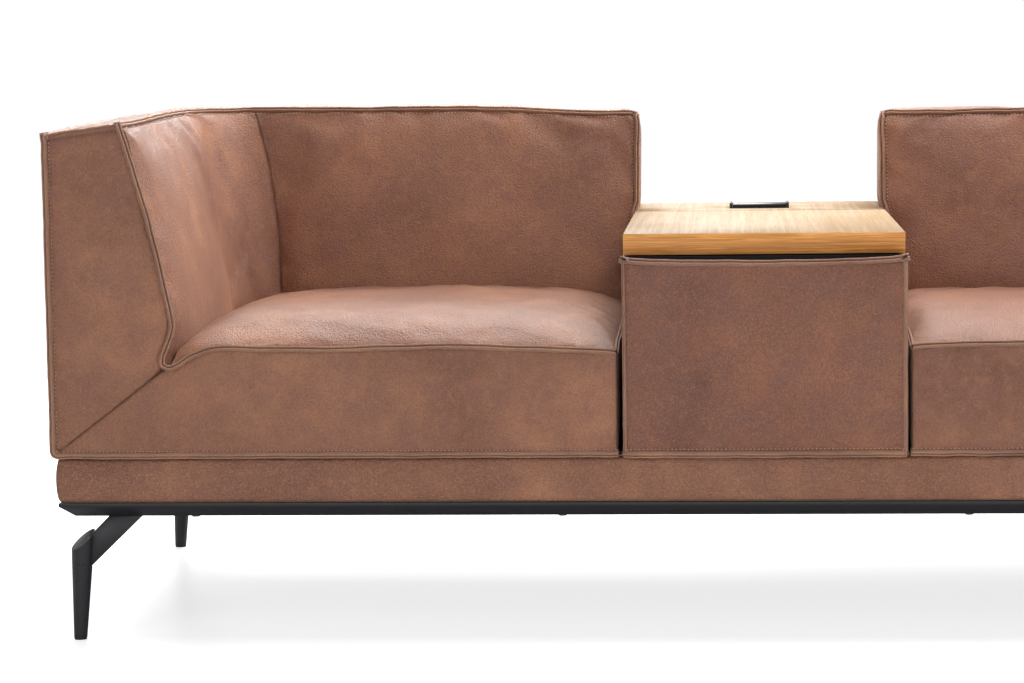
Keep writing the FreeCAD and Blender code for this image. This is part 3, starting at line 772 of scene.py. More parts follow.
@dataclass(frozen=True)
class OakFinish:
    """Light oak with fine pores and long figure."""

    name: str  # Name of the material
    pale: Triple = (0.84, 0.385, 0.108)  # Colour of the early wood
    gold: Triple = (0.56, 0.225, 0.053)  # Colour of the late wood
    grain: Triple = (0.03, 1.0, 1.0)  # Stretch of the pattern on each axis, small along the grain
    figure_scale: float = 40.0  # Bands of figure per metre, across the grain
    roughness: float = 0.33  # Roughness of the lacquer
    lining: float = 0.75  # How strongly the fine dark lines and pores show
    specular: float = 0.25  # Strength of the clear reflection

    def material(self) -> bpy.types.Material:
        """Build the material.

        Returns:
            The material.
        """
        material, wiring, shader, place = new_material(self.name)
        along = wiring.stretched(place, self.grain)
        figure = wiring.noise(along, self.figure_scale, 4.0, 0.55)
        rings = wiring.maths("PINGPONG", wiring.maths("MULTIPLY", figure, 11.0), 1.0)
        lines = wiring.noise(along, 260.0, 3.0, 0.65)
        pores = wiring.noise(along, 780.0, 2.0, 0.6)
        tone = wiring.blend(wiring.remap(rings, 0.1, 0.9, 0.0, 0.75), self.pale, self.gold)
        pored = wiring.remap(pores, 0.30, 0.46, self.lining * 0.8, 0.0)
        lined = wiring.blend(
            wiring.remap(lines, 0.42, 0.66, 0.0, self.lining), tone, shade(self.gold, 0.75)
        )
        wiring.fill(shader, {
            "Base Color": wiring.blend(pored, lined, shade(self.gold, 0.5)),
            "Roughness": wiring.remap(pores, 0.3, 0.6, self.roughness + 0.12, self.roughness),
            "Normal": wiring.bump(pores, 0.35, 0.1 * MM),
            "Specular IOR Level": self.specular,
        })
        return material


@dataclass(frozen=True)
class CoatFinish:
    """Paint, plastic, rubber, timber or cloth with a fine texture."""

    name: str  # Name of the material
    colour: Triple  # Main colour
    roughness: float = 0.5  # Middle of the roughness
    metallic: float = 0.0  # 1 for bare metal
    texture_scale: float = 900.0  # Texture grains per metre
    texture_height: float = 0.06 * MM  # Height of the texture in metres
    specular: float = 0.5  # Strength of the clear reflection

    def material(self) -> bpy.types.Material:
        """Build the material.

        Returns:
            The material.
        """
        material, wiring, shader, place = new_material(self.name)
        sockets = (("Vector", "Vector", 0), ("Texture Scale", "Float", 900))
        inputs = {"Vector": place, "Texture Scale": self.texture_scale}
        fleck = Shelf.group("fleck", sockets, fleck_masks)
        mask = wiring.node("ShaderNodeGroup", inputs, node_tree=fleck).outputs
        low = self.roughness - 0.06
        wiring.fill(shader, {
            "Base Color": wiring.blend(
                mask["Smudge"], shade(self.colour, 0.8), shade(self.colour, 1.25)
            ),
            "Roughness": wiring.remap(mask["Smudge"], 0.3, 0.7, low, low + 0.12),
            "Normal": wiring.bump(mask["Texture"], 0.5, self.texture_height),
            "Metallic": self.metallic,
            "Specular IOR Level": self.specular,
        })
        return material


@dataclass
class Finishes:
    """Every material of the sofa, by name, made when it is first asked for."""

    recipes: dict[str, LeatherFinish | OakFinish | CoatFinish] = field(
        default_factory=lambda: {
            "leather": LeatherFinish("brown_leather"),
            "plinth": LeatherFinish(
                "grained_leather", grain_scale=330.0, grain_height=1.5 * MM, rub=0.7
            ),
            "console": LeatherFinish(
                "darker_leather", deep=(0.138, 0.048, 0.029), warm=(0.300, 0.116, 0.060),
                cool=(0.182, 0.075, 0.053), grain_scale=330.0, grain_height=1.4 * MM, rub=0.4,
            ),
            "welt": LeatherFinish(
                "seam_leather", deep=(0.235, 0.112, 0.072), warm=(0.43, 0.228, 0.142),
                cool=(0.31, 0.165, 0.118), grain_scale=620.0, rub=0.6, painted_seam_shade=0.0,
            ),
            "thread": CoatFinish("pale_thread", (0.46, 0.30, 0.22), 0.7, 0.0, 2500.0),
            # Paler, whitish oak for the faces on top and below: its colour holds a painted
            # reflection of the bright surroundings, so its own clear reflection is turned low.
            "oak_top_painted_reflection": OakFinish(
                "oak_top_painted_reflection", pale=(0.455, 0.332, 0.212), gold=(0.385, 0.252, 0.137),
                grain=(1.0, 0.012, 1.0), roughness=0.45, lining=0.35, specular=0.05,
            ),
            "oak_edge": OakFinish(
                "oak_edge", grain=(0.030, 1.0, 1.0), figure_scale=130.0, lining=0.55
            ),
            # Dark shapes round each stitch, just under the leather: painted shade in the needle
            # holes.
            "hole": CoatFinish("needle_hole_painted_shade", (0.045, 0.017, 0.011), 0.9),
            "steel": CoatFinish("black_coat", (0.0125, 0.0118, 0.0150), 0.46, specular=0.36),
            # Lighter grey of the same black coat, for the legs' up-facing cut tops: painted light
            # from above.
            "steel_painted_top_light": CoatFinish("black_coat_painted_top_light", (0.055, 0.055, 0.057), 0.55),
            "zinc": CoatFinish("dark_zinc_plate", (0.13, 0.125, 0.12), 0.5, 0.6),
            "plastic": CoatFinish("black_plastic", (0.008, 0.008, 0.010), 0.38, specular=0.3),
            "rubber": CoatFinish("black_rubber", (0.016, 0.016, 0.016), 0.8),
            # Black paint of the console's boards, made darker still as painted shade in the gap
            # under the lid.
            "board": CoatFinish("black_board", (0.009, 0.0085, 0.011), 0.6, specular=0.15),
            "timber": CoatFinish("plain_timber", (0.50, 0.34, 0.19), 0.7),
            "cloth": CoatFinish("woven_cloth", (0.022, 0.022, 0.025), 0.9, 0.0, 1500.0),
            "webbing": CoatFinish("elastic_webbing", (0.05, 0.045, 0.04), 0.85, 0.0, 1200.0),
            "foam": CoatFinish("foam", (0.72, 0.66, 0.50), 0.95, 0.0, 1200.0),
        }
    )
    made: dict[str, bpy.types.Material] = field(default_factory=dict)  # Materials made so far

    def __getitem__(self, name: str) -> bpy.types.Material:
        """The material of a name."""
        if name not in self.made:
            self.made[name] = self.recipes[name].material()
        return self.made[name]


# Seams: raised welts and stitches


@dataclass
class SeamPath:
    """A run of raised seam between two panels."""

    corner: Array  # Places where the planes of the two panels cross
    on: Array  # Direction that the stitched panel faces, at each place
    beyond: Array  # Direction that the other panel faces, at each place
    depth: float = 5 * MM  # How deep the seam lies below both planes
    scale: float = 1.0  # Size of the welt against the usual one
    stitched: bool = True  # Whether a row of stitches shows beside it

    def resampled(self, step: float) -> "SeamPath":
        """The same run with places about a step apart.

        Args:
            step: Distance from place to place.

        Returns:
            The new run.
        """
        lengths = np.linalg.norm(np.diff(self.corner, axis=0), axis=1)
        along = np.concatenate([[0.0], np.cumsum(lengths)])
        wanted = np.linspace(0, along[-1], max(3, int(round(along[-1] / step)) + 1))
        parts = [
            np.stack([np.interp(wanted, along, part[:, axis]) for axis in range(3)], 1)
            for part in (self.corner, self.on, self.beyond)
        ]
        return SeamPath(
            parts[0], unit(parts[1]), unit(parts[2]), self.depth, self.scale, self.stitched
        )

    def axes(self) -> tuple[Array, Array, Array]:
        """Root of the welt, the way it stands and the way across it.

        Returns:
            The three, with one row for each place.
        """
        root = self.corner - self.depth * (self.on + self.beyond)
        tangent = unit(np.gradient(root, axis=0))
        standing = self.on + 0.6 * self.beyond
        standing = unit(standing - tangent * (standing * tangent).sum(1)[:, None])
        return root, standing, np.cross(tangent, standing)


@dataclass
class SeamWork:
    """All raised seams and stitches of one unit."""

    name: str  # Name of the unit, used for the pieces
    seed: int  # Picks the unevenness
    height: float = 8.8 * MM  # How far the welt stands out of the seam
    lip: float = 2.8 * MM  # Thickness of each of its two leather lips
    groove: float = 2.0 * MM  # Gap between the lips at their tips
    root: float = 4.0 * MM  # How deep the welt reaches below the seam
    row_offset: float = 9.8 * MM  # How far the stitches lie from the seam's corner
    pitch: float = 6.0 * MM  # Distance from stitch to stitch
    stitch_length: float = 3.7 * MM  # Length of a stitch
    stitch_radius: float = 0.74 * MM  # Radius of the thread
    step: float = 5 * MM  # Step of the welt's mesh along a run
    row_step: float = 4 * MM  # Step of the lines that the stitches follow
    row_search: float = 12 * MM  # How far above and below its plane the leather is looked for
    lean: Pair = (0.4 * MM, 60 * MM)  # How far the welt leans to either side, and over what length
    uneven: Pair = (0.04, 35 * MM)  # Share by which its height varies, and over what length
    end_rise: Pair = (0.84, 0.08)  # Share of its height at a run's end, and what each step adds
    paths: list[SeamPath] = field(default_factory=list)  # Runs of seam added so far

    def add(
        self, side: Side, corner: Sequence[Array], on: Array, beyond: Array, **options: float
    ) -> None:
        """Add a run of seam.

        Args:
            side: Half of the sofa, for places given by their out.
            corner: Places along the run, where the panels' planes cross.
            on: Facing of the stitched panel, one for all places or one for each.
            beyond: Facing of the other panel.
            **options: The path's depth, scale and stitched.
        """
        places = turned(np.array(corner), side)
        ways = [turned(np.broadcast_to(np.array(way), places.shape), side) for way in (on, beyond)]
        self.paths.append(SeamPath(places, ways[0], ways[1], **options))

    def profile(self) -> Array:
        """Section of a welt: two rounded lips with a groove between them.

        Returns:
            Points of the section: across and up, from root to root.
        """
        half = self.lip + self.groove / 2
        cut = self.lip * 0.42
        right = [
            (half, -self.root),
            (half, self.height - cut),
            (half - cut * 0.35, self.height - cut * 0.3),
            (half - self.lip * 0.5, self.height),
            (self.groove / 2 + cut * 0.3, self.height - cut * 0.3),
            (self.groove / 2, self.height - cut),
            (self.groove * 0.25, self.height * 0.1),
        ]
        return np.array(right + [(-across, up) for across, up in reversed(right)])

    def sweep(self, draft: Draft) -> None:
        """Sweep the section along every run.

        Args:
            draft: Mesh that takes the welts.
        """
        section = self.profile()
        for index, path in enumerate(self.paths):
            run = path.resampled(self.step)
            root, standing, across = run.axes()
            count = len(root)
            lean = ripple(root, self.lean[1], self.seed + index) * self.lean[0] * run.scale
            rise = 1 + self.uneven[0] * ripple(root, self.uneven[1], self.seed + index + 50)
            ends = np.minimum(np.arange(count), np.arange(count)[::-1])
            lowest, added = self.end_rise
            rise *= np.where(ends < 2, lowest + added * ends, 1.0) * run.scale
            ups = section[None, :, 1] * np.where(section[:, 1] > 0, rise[:, None], 1.0)
            tips = np.clip(section[:, 1] / self.height, 0, None)[None, :] * lean[:, None]
            aside = section[None, :, 0] * run.scale + tips
            rows = root[:, None] + aside[..., None] * across[:, None]
            rows = rows + ups[..., None] * standing[:, None]
            rows = np.concatenate([rows, rows[:, :1]], axis=1)
            draft.grid(rows, Panel.WELT)
            for row in (rows[0], rows[-1]):
                middle = np.broadcast_to(row[:-1].mean(axis=0), row.shape)
                draft.grid(np.array([row, middle]), Panel.WELT)

    def stitch_lines(
        self, surfaces: Sequence[bpy.types.Object], proud: float
    ) -> bpy.types.Mesh:
        """Poly-lines on the panels beside the seams, where the stitches go.

        Args:
            surfaces: Upholstered pieces that the rows lie on.
            proud: How far the lines lie above the leather, below zero for under it.

        Returns:
            A mesh of edges alone.
        """
        points: list[Vector] = []
        edges: list[tuple[int, int]] = []
        trees = [
            BVHTree.FromPolygons(
                [vertex.co for vertex in piece.data.vertices],
                [tuple(face.vertices) for face in piece.data.polygons],
            )
            for piece in surfaces
        ]
        above = self.row_search
        for path in self.paths:
            run = path.resampled(self.row_step)
            joined = False
            for corner, on, beyond in zip(run.corner[1:-1], run.on[1:-1], run.beyond[1:-1]):
                start = Vector(corner + above * on - self.row_offset * beyond)
                hits = [tree.ray_cast(start, Vector(-on), 2 * above) for tree in trees]
                found = [hit for hit in hits if hit[0] is not None and path.stitched]
                if found:
                    nearest = min(found, key=lambda hit: hit[3])
                    points.append(nearest[0] + Vector(on) * proud)
                    if joined:
                        edges.append((len(points) - 2, len(points) - 1))
                joined = bool(found)
        data = bpy.data.meshes.new(f"{self.name}_rows")
        data.from_pydata(points, edges, [])
        return data

    def build(self, finishes: Finishes, surfaces: Sequence[bpy.types.Object]) -> None:
        """Make the welts and the stitches, which stay with the sofa's body.

        Args:
            finishes: The sofa's materials.
            surfaces: Upholstered pieces that the stitches lie on.
        """
        draft = Draft()
        self.sweep(draft)
        welts = draft.finish(f"{self.name}_welts", finishes["welt"])
        pieces = [welts]
        # The holes are dark shapes round each stitch: painted shade where the thread goes into the
        # leather.
        for word, finish, proud, grown in (
            ("stitches", "thread", 0.35 * MM, 0.0),
            ("holes", "hole", -0.20 * MM, 0.3 * MM),
        ):
            values = {
                "Pitch": self.pitch,
                "Length": self.stitch_length + 4 * grown,
                "Radius": self.stitch_radius + grown,
                "Seed": self.seed,
                "Thread": finishes[finish],
            }
            lines = self.stitch_lines(surfaces, proud)
            pieces.append(repeated(stitch_tree(), lines, f"{self.name}_{word}", values))
        for piece in pieces:
            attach(piece, "sofa")


def start_tree(
    name: str, sockets: Sequence[tuple[str, str, float]]
) -> tuple[Wiring, bpy.types.NodeInputs]:
    """Start a Geometry Nodes tree that ends in one mesh.

    Args:
        name: Name of the tree.
        sockets: Name, kind and default of each input.

    Returns:
        The wiring and the tree's inputs.
    """
    tree = bpy.data.node_groups.new(name, "GeometryNodeTree")
    for title, kind, value in sockets:
        socket(tree, title, kind, "INPUT", value)
    socket(tree, "Result", "Geometry", "OUTPUT")
    wiring = Wiring(tree)
    return wiring, wiring.node("NodeGroupInput").outputs


def end_tree(wiring: Wiring, instances: Source, material: Source) -> bpy.types.NodeTree:
    """Make the instances real, give them their material and end the tree.

    Args:
        wiring: Wiring of the tree.
        instances: The instances.
        material: Their material.

    Returns:
        The finished tree.
    """
    real = wiring.node("GeometryNodeRealizeInstances", {"Geometry": instances})
    inputs = {"Geometry": real.outputs["Geometry"], "Material": material}
    coated = wiring.node("GeometryNodeSetMaterial", inputs)
    wiring.node("NodeGroupOutput", {"Result": coated.outputs["Geometry"]})
    return wiring.tree


def stitch_tree() -> bpy.types.NodeTree:
    """Tree that lays a stitch at every step of a line, made once.

    Returns:
        The tree.
    """
    if "stitch_rows" in bpy.data.node_groups:
        return bpy.data.node_groups["stitch_rows"]
    wiring, given = start_tree("stitch_rows", (
        ("Lines", "Geometry", 0), ("Pitch", "Float", 0.006), ("Length", "Float", 0.0037),
        ("Radius", "Float", 0.0006), ("Seed", "Int", 7), ("Thread", "Material", 0),
    ))
    curve = wiring.node("GeometryNodeMeshToCurve", {"Mesh": given["Lines"]}).outputs["Curve"]
    inputs = {"Curve": curve, "Length": given["Pitch"]}
    places = wiring.node("GeometryNodeResampleCurve", inputs, mode="LENGTH")
    ball = wiring.node("GeometryNodeMeshUVSphere", {"Segments": 6, "Rings": 4, "Radius": 1.0})
    half = wiring.maths("MULTIPLY", given["Length"], 0.5)
    size = wiring.node("ShaderNodeCombineXYZ", {0: given["Radius"], 1: given["Radius"], 2: half})
    tangent = wiring.node("GeometryNodeInputTangent").outputs["Tangent"]
    turn = wiring.node("FunctionNodeAlignRotationToVector", {"Vector": tangent}, axis="Z")
    inputs = {"Min": (-0.1, -0.1, 0.0), "Max": (0.1, 0.1, 0.0), "Seed": given["Seed"]}
    slant = wiring.node("FunctionNodeRandomValue", inputs, data_type="FLOAT_VECTOR")
    inputs = {"Rotation": turn.outputs["Rotation"], "Rotate By": slant.outputs["Value"]}
    tilt = wiring.node("FunctionNodeRotateRotation", inputs, rotation_space="LOCAL")
    placed = wiring.node("GeometryNodeInstanceOnPoints", {
        "Points": places.outputs["Curve"],
        "Instance": ball.outputs["Mesh"],
        "Rotation": tilt.outputs["Rotation"],
        "Scale": size.outputs[0],
    })
    return end_tree(wiring, placed.outputs["Instances"], given["Thread"])


def strap_tree() -> bpy.types.NodeTree:
    """Tree that lays a flat strap, sagging a little, at every point.

    Returns:
        The tree.
    """
    wiring, given = start_tree("strap_rows", (
        ("Middles", "Geometry", 0), ("Width", "Float", 0.06), ("Length", "Float", 0.6),
        ("Thickness", "Float", 0.003), ("Sag", "Float", 0.002), ("Webbing", "Material", 0),
    ))
    lengths = {index: given[name] for index, name in enumerate(("Length", "Width", "Thickness"))}
    size = wiring.node("ShaderNodeCombineXYZ", lengths).outputs[0]
    strap = wiring.node("GeometryNodeMeshCube", {"Vertices X": 17, "Size": size})
    middle = wiring.node("GeometryNodeInputPosition").outputs[0]
    place = wiring.node("ShaderNodeSeparateXYZ", {0: middle})
    share = wiring.maths("DIVIDE", place.outputs["X"], given["Length"])
    bow = wiring.maths("SUBTRACT", wiring.maths("MULTIPLY", share, share), 0.25)
    drop = wiring.maths("MULTIPLY", wiring.maths("MULTIPLY", bow, 4.0), given["Sag"])
    shift = wiring.node("ShaderNodeCombineXYZ", {2: drop}).outputs[0]
    inputs = {"Geometry": strap.outputs["Mesh"], "Offset": shift}
    bent = wiring.node("GeometryNodeSetPosition", inputs).outputs["Geometry"]
    inputs = {"Points": given["Middles"], "Instance": bent}
    placed = wiring.node("GeometryNodeInstanceOnPoints", inputs)
    return end_tree(wiring, placed.outputs["Instances"], given["Webbing"])


def repeated(
    tree: bpy.types.NodeTree, places: bpy.types.Mesh, name: str, values: dict[str, object]
) -> bpy.types.Object:
    """Run a tree on a mesh of places and make the result a plain mesh.

    Args:
        tree: The Geometry Nodes tree.
        places: Mesh of the points or lines that it works on.
        name: Name of the new object.
        values: The tree's inputs by name.

    Returns:
        The new object.
    """
    thing = new_object(name, places)
    modifier = thing.modifiers.new("repeat", "NODES")
    modifier.node_group = tree
    for item in tree.interface.items_tree:
        if item.item_type == "SOCKET" and item.name in values:
            modifier[item.identifier] = values[item.name]
    apply_modifiers(thing)
    for face in thing.data.polygons:
        face.use_smooth = True
    return thing


# Upholstered units

# Outer end of the seat's front seam, the same on both sides: out and lift
FRONT_SEAM_AT_ARM = in_mm(
    (0.721, 3.1), (0.780, 5.0), (0.803, 4.8), (0.821, 2.2),
    (0.847, -7.6), (0.866, -21.0), (0.884, -27.5),
)


@dataclass
class SofaSizes:
    """Sizes that the upholstered units share, most of them read from the frame."""

    # Height and out of the flat seam between the arm's and the back's inside
    corner_seam: Table = (
        (0.400, 0.775), (0.477, 0.801), (0.513, 0.802), (0.581, 0.805),
        (0.680, 0.820), (0.730, 0.833), (0.765, 0.843), (0.777, 0.850),
    )
    # Height and shift of the arm's inner edge, at the front, near its foot
    hook: Table = in_mm(
        (0.410, 0.0), (0.4134, 14), (0.427, 18), (0.443, 11), (0.460, 4.5), (0.470, 1.5),
        (0.480, 0.0),
    )
    # Out and lift of the wall's top edge, for each side
    wall_crown: dict[Side, Table] = per_side(
        in_mm(
            (0.20, -6.0), (0.27, -6.5), (0.35, -2.5), (0.43, 2.5), (0.50, 4.0), (0.62, 4.0),
            (0.80, 5.4), (0.90, 6.0), (1.06, 6.5),
        ),
        in_mm(
            (0.20, -9.5), (0.24, -11.0), (0.30, -11.5), (0.50, -9.0), (0.70, -2.5),
            (0.85, 1.5), (1.06, 4.0),
        ),
    )
    # Out of the seat's front seam and its lift, for each side
    front_seam: dict[Side, Table] = per_side(
        in_mm(
            (0.214, -4.0), (0.240, -2.4), (0.282, -0.2), (0.350, 1.9), (0.417, 5.1),
            (0.485, 6.1), (0.552, 4.3), (0.637, 2.1),
        ) + FRONT_SEAM_AT_ARM,
        in_mm(
            (0.212, 1.2), (0.240, 3.6), (0.300, 4.6), (0.380, 5.2), (0.500, 4.5), (0.640, 2.4),
        ) + FRONT_SEAM_AT_ARM,
    )
    # Rise of the seat, the share of it at the console and how soon it rises
    seat_crown: dict[Side, Triple] = per_side(
        (50 * MM, 0.28, 65 * MM), (39.5 * MM, 0.55, 25 * MM)
    )
    # Out of the seat's end beside the console, for each side
    seat_ends: dict[Side, float] = per_side(0.2140, 0.2120)
    # Height and out of a point on the arm's inner face above the seat
    arm_middle: Pair = (0.593, 0.893)
    arm_top_width: float = 0.116  # Width of the arm's top
    # Height and length of the rounded inner corner along the arm
    corner_length: Table = ((0.40, 0.095), (0.47, 0.150))
    seat_level: float = 0.477  # Height from which the arm's inner face leans outwards
    back_seat_y: float = 0.150  # Y of the back's front face at the seat
    back_top_y: float = 0.198  # Y of the back's front face at the top
    mitre_out: float = 0.884  # Out of the upper end of the slanted seam on the front
    mitre_top: float = 0.4135  # Height of that end
    mitre_depth: float = 1.8 * MM  # Depth of that seam
    seam_depth: float = 5 * MM  # Depth of a raised seam
    foot_radius: float = 11 * MM  # Rounding of the front's outer lower corner
    end_radius: float = 17 * MM  # Rounding of the back's upper corner beside the console

    def __post_init__(self) -> None:
        """Read what the frame gives."""
        low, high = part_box("arm_front_panel_right")
        self.half_width, self.half_depth = high.x, -low.y
        self.base_top, self.wall_top = low.z, high.z
        self.arm_seat_out = low.x
        self.wall_outer_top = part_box("arm_outer_cover_right")[1].z
        self.arm_top_out = self.half_width - self.arm_top_width
        low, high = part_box("plinth_cover_rear")
        self.bar_top, self.plinth_out, self.plinth_reach = low.z, high.x, high.y
        low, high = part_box("console_cover_front")
        self.console_out, self.console_top = high.x, high.z
        self.console_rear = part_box("console_cover_rear")[1].y
        low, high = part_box("seat_front_panel_right")
        self.seam_height = high.z
        self.back_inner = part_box("back_pad_right")[0].x
        self.foam_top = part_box("seat_foam_right")[1].z

    def arm_out(self, height: float) -> float:
        """Out of the arm's inner face at a height.

        Args:
            height: The height.

        Returns:
            The out.
        """
        above = height - self.seat_level
        if above <= 0:
            return self.arm_seat_out
        middle_level, middle_out = self.arm_middle
        first = (middle_out - self.arm_seat_out) / (middle_level - self.seat_level)
        second = (self.arm_top_out - middle_out) / (self.wall_top - middle_level)
        bend = (second - first) / (self.wall_top - self.seat_level)
        return self.arm_seat_out + above * (first + bend * (height - middle_level))

    def arm_lean(self, height: float) -> float:
        """How fast the arm's inner face moves out with height."""
        step = 2 * MM
        return (self.arm_out(height + step) - self.arm_out(height - step)) / (2 * step)

    def back_y(self, height: float) -> float:
        """Y of the back's front face at a height."""
        share = (height - self.seat_level) / (self.wall_top - self.seat_level)
        return self.back_seat_y + (self.back_top_y - self.back_seat_y) * max(0.0, share)

    def bend(self, height: float) -> Pair:
        """Half axes of the rounded inner corner at a height, across and along the arm."""
        across = self.arm_out(height) - look_up(self.corner_seam, height)
        return across, look_up(self.corner_length, height)

    def mitre_height(self, out: float) -> float:
        """Height of the slanted seam between the seat's and the arm's front."""
        share = (self.half_width - out) / (self.half_width - self.mitre_out)
        return self.base_top + (self.mitre_top - self.base_top) * share

    def foot_rounded(self, point: Array) -> Array:
        """The point, moved where it lies in the rounded outer lower corner.

        Args:
            point: A point of the front or the outer face.

        Returns:
            The moved point.
        """
        across, up = rounded_off(
            self.half_width - point[0], point[2] - self.base_top, self.foot_radius
        )
        return np.array([self.half_width - across, point[1], self.base_top + up])


Cell = tuple[Array, Array, float]
Station = tuple[str, float]


@dataclass
class Unit:
    """An upholstered unit of one side of the sofa."""

    side: Side  # Half of the sofa that the unit is on
    sizes: SofaSizes  # Sizes that the units share
    softness: Softness = Softness()  # How the leather swells between its seams
    settling: Settling = Settling()  # How the leather settles

    def settled(self, cells: list[list[Cell]], seed: int) -> Array:
        """Turn rows of placed points to the side and add unevenness.

        Args:
            cells: Rows of points, each with its facing and how free of seams it is.
            seed: Picks the unevenness.

        Returns:
            The grid of points.
        """
        points, facings = (
            turned(np.array([[cell[part] for cell in row] for row in cells]), self.side)
            for part in (0, 1)
        )
        free = np.array([[cell[2] for cell in row] for row in cells])
        return self.softness.ruffle(points, facings, free, seed)

    def cell(self, base: Array, facing: Array, borders: list[Border], swell: float) -> Cell:
        """Place a point and say how free of seams it is."""
        placed = self.softness.place(base, facing, borders, swell)
        return placed, facing, self.softness.loose(nearest(borders))


@dataclass
class WallUnit(Unit):
    """Arm and back of one side: one upholstered wall round the seat.

    A step is given by its size, its start and its length, and a span by its start and its
    length. Shares go along the arm, the inner corner or the back.
    """

    low_levels: int = 7  # Number of height steps below the top of the mitre
    bend_steps: int = 14  # Number of steps round the inner corner
    coarse: Pair = (24 * MM, 20 * MM)  # Longest steps of the mesh along the wall and up it
    swell_inside: float = 13 * MM  # How far the inner faces swell
    swell_outside: float = 1.5 * MM  # How far the outer faces swell
    swell_top: float = 3.0 * MM  # How far the top swells
    swell_end: float = 2.0 * MM  # How far the two ends swell
    lift_from: float = 0.55  # Height from which the crowned top edge lifts the faces
    lift_ease: Span = (0.0, 0.45)  # Span behind the front in which the arm's lift grows
    arm_from: float = 0.85  # Out from which the top belongs to the arm
    # Steps of height by which the end beside the console widens
    end_flare: tuple[Triple, ...] = ((6.0 * MM, 0.606, 0.018), (1.5 * MM, 0.70, 0.05))
    # Step behind the back's face by which it draws in again
    end_taper: tuple[Triple, ...] = ((5.0 * MM, 0.05, 0.16),)
    flare_reach: float = 90 * MM  # How far behind the back's face the widening fades out
    end_reach: float = 12 * MM  # How far from the end it moves the faces
    hook_reach: float = 55 * MM  # How far behind the front the arm's hooked foot fades out
    tuck: float = 25 * MM  # How far behind the front the inner face starts, below the mitre
    belly: float = 7 * MM  # How much more the arm's inner face swells in its middle
    belly_reach: float = 50 * MM  # How far behind the front the belly takes to grow
    belly_rear: Span = (0.45, 0.55)  # Span of shares in which it fades out
    belly_foot: Span = (0.44, 0.12)  # Span of height in which it grows
    belly_top: Span = (0.66, 0.117)  # Span of height in which it loses a part
    belly_lost: float = 0.6  # Share that it loses there
    brow: float = 9 * MM  # How much the inner faces bulge right below the top seam
    brow_reach: Pair = (12 * MM, 60 * MM)  # How far below the seam the brow grows, and fades out
    # Span of shares in which the rear face gets as high as the front one
    full_height: Span = (0.0, 0.125)
    # How much lower the rear edge of the back's top lies than its front edge
    rear_drop: float = 10 * MM
    drop_out: Span = (0.66, 0.24)  # Span of out in which that drop fades out
    drop_up: Span = (0.6, 0.15)  # Span of height in which it grows
    fold: float = 2.2 * MM  # Height of the upright folds in the inner corner
    # How closely the folds follow each other, round the corner and up it
    fold_rates: Pair = (13.0, 9.0)
    fold_reach: float = 0.10  # How far above the seat they fade out
    fold_middle: float = 0.8  # Share of the corner where they are highest, and how wide they spread
    rim: float = 9 * MM  # Height of the strip that the top's leather takes on the arm's front
    rim_groove: Pair = (2.0 * MM, 1.3 * MM)  # Depth and half width of the groove below the strip
    roll: float = 7 * MM  # Radius of the arm's front top edge
    roll_fall: float = 0.3  # Share of that radius by which the front leans back there
    first_rise: float = 6 * MM  # First step of height above the mitre's top
    last_turn: float = 0.012  # Last step round the inner corner, as a share of it
    # Longest, first and last step across the top, as shares of its width
    cross_steps: Triple = (0.11, 0.02, 0.02)
    # Levels across the groove on the arm's front, and how near it no other level lies
    groove_levels: Triple = (-1.4 * MM, 0.0, 1.4 * MM)
    groove_clear: float = 2.4 * MM
    # Points of the outer front seam: down the edge, round its foot and along the front
    seam_points: tuple[int, int, int] = (40, 9, 60)
    seam_start: float = 2.5 * MM  # How far up and out of the arm's corner that seam starts
    front_seam_depth: float = 5.8 * MM  # Its depth

    def __post_init__(self) -> None:
        """Work out the stations along the wall and the levels up it."""
        s = self.sizes
        self.bend_y = s.back_top_y - s.bend(s.wall_top)[1]
        self.corner_out = look_up(s.corner_seam, s.wall_top)
        arm = ladder(self.bend_y + s.half_depth, self.coarse[0], last=1.0)
        back = ladder(self.corner_out - s.back_inner, self.coarse[0])
        bend = ladder(1.0, 1 / self.bend_steps, first=1.0, last=self.last_turn)
        self.stations: list[Station] = (
            [("arm", float(share)) for share in arm]
            + [("bend", float(share)) for share in bend[1:-1]]
            + [("back", float(share)) for share in back]
        )
        self.bend_end = len(arm) + len(bend) - 2
        lower = np.linspace(s.base_top, s.mitre_top, self.low_levels + 1)[:-1]
        span = s.wall_top - s.mitre_top
        upper = s.mitre_top + span * ladder(span, self.coarse[1], first=self.first_rise)
        strip = s.wall_top - self.rim + np.array(self.groove_levels)
        kept = [level for level in upper if abs(level - strip[1]) > self.groove_clear]
        self.heights = np.concatenate([lower, np.sort(np.concatenate([kept, strip]))])
        self.last = len(self.heights) - 1
        self.cross = ladder(1.0, *self.cross_steps)

    def lift(self, out: float, y: float, height: float) -> float:
        """How far the crowned top edge lifts a point.

        Args:
            out: Out of the point.
            y: Its y.
            height: Its height.

        Returns:
            The lift.
        """
        s = self.sizes
        share = eased(height, (self.lift_from, s.wall_top - self.lift_from))
        along_arm = eased(y + s.half_depth, self.lift_ease) if out > self.arm_from else 1.0
        return share * along_arm * look_up(s.wall_crown[self.side], out)

    def end_rounded(self, point: Array) -> Array:
        """The point, moved where it lies in the rounded upper corner at the console.

        Args:
            point: A point of the back.

        Returns:
            The moved point.
        """
        s = self.sizes
        flare = stepped(self.end_flare, point[2])
        behind = max(point[1] - s.back_y(point[2]), 0.0)
        inner = s.back_inner - flare * fade(behind, self.flare_reach)
        inner += stepped(self.end_taper, behind)
        near = fade(point[0] - s.back_inner, self.end_reach)
        out = point[0] - (s.back_inner - inner) * near
        across, down = rounded_off(out - inner, s.wall_top - point[2], s.end_radius)
        return np.array([inner + across, point[1], s.wall_top - down])

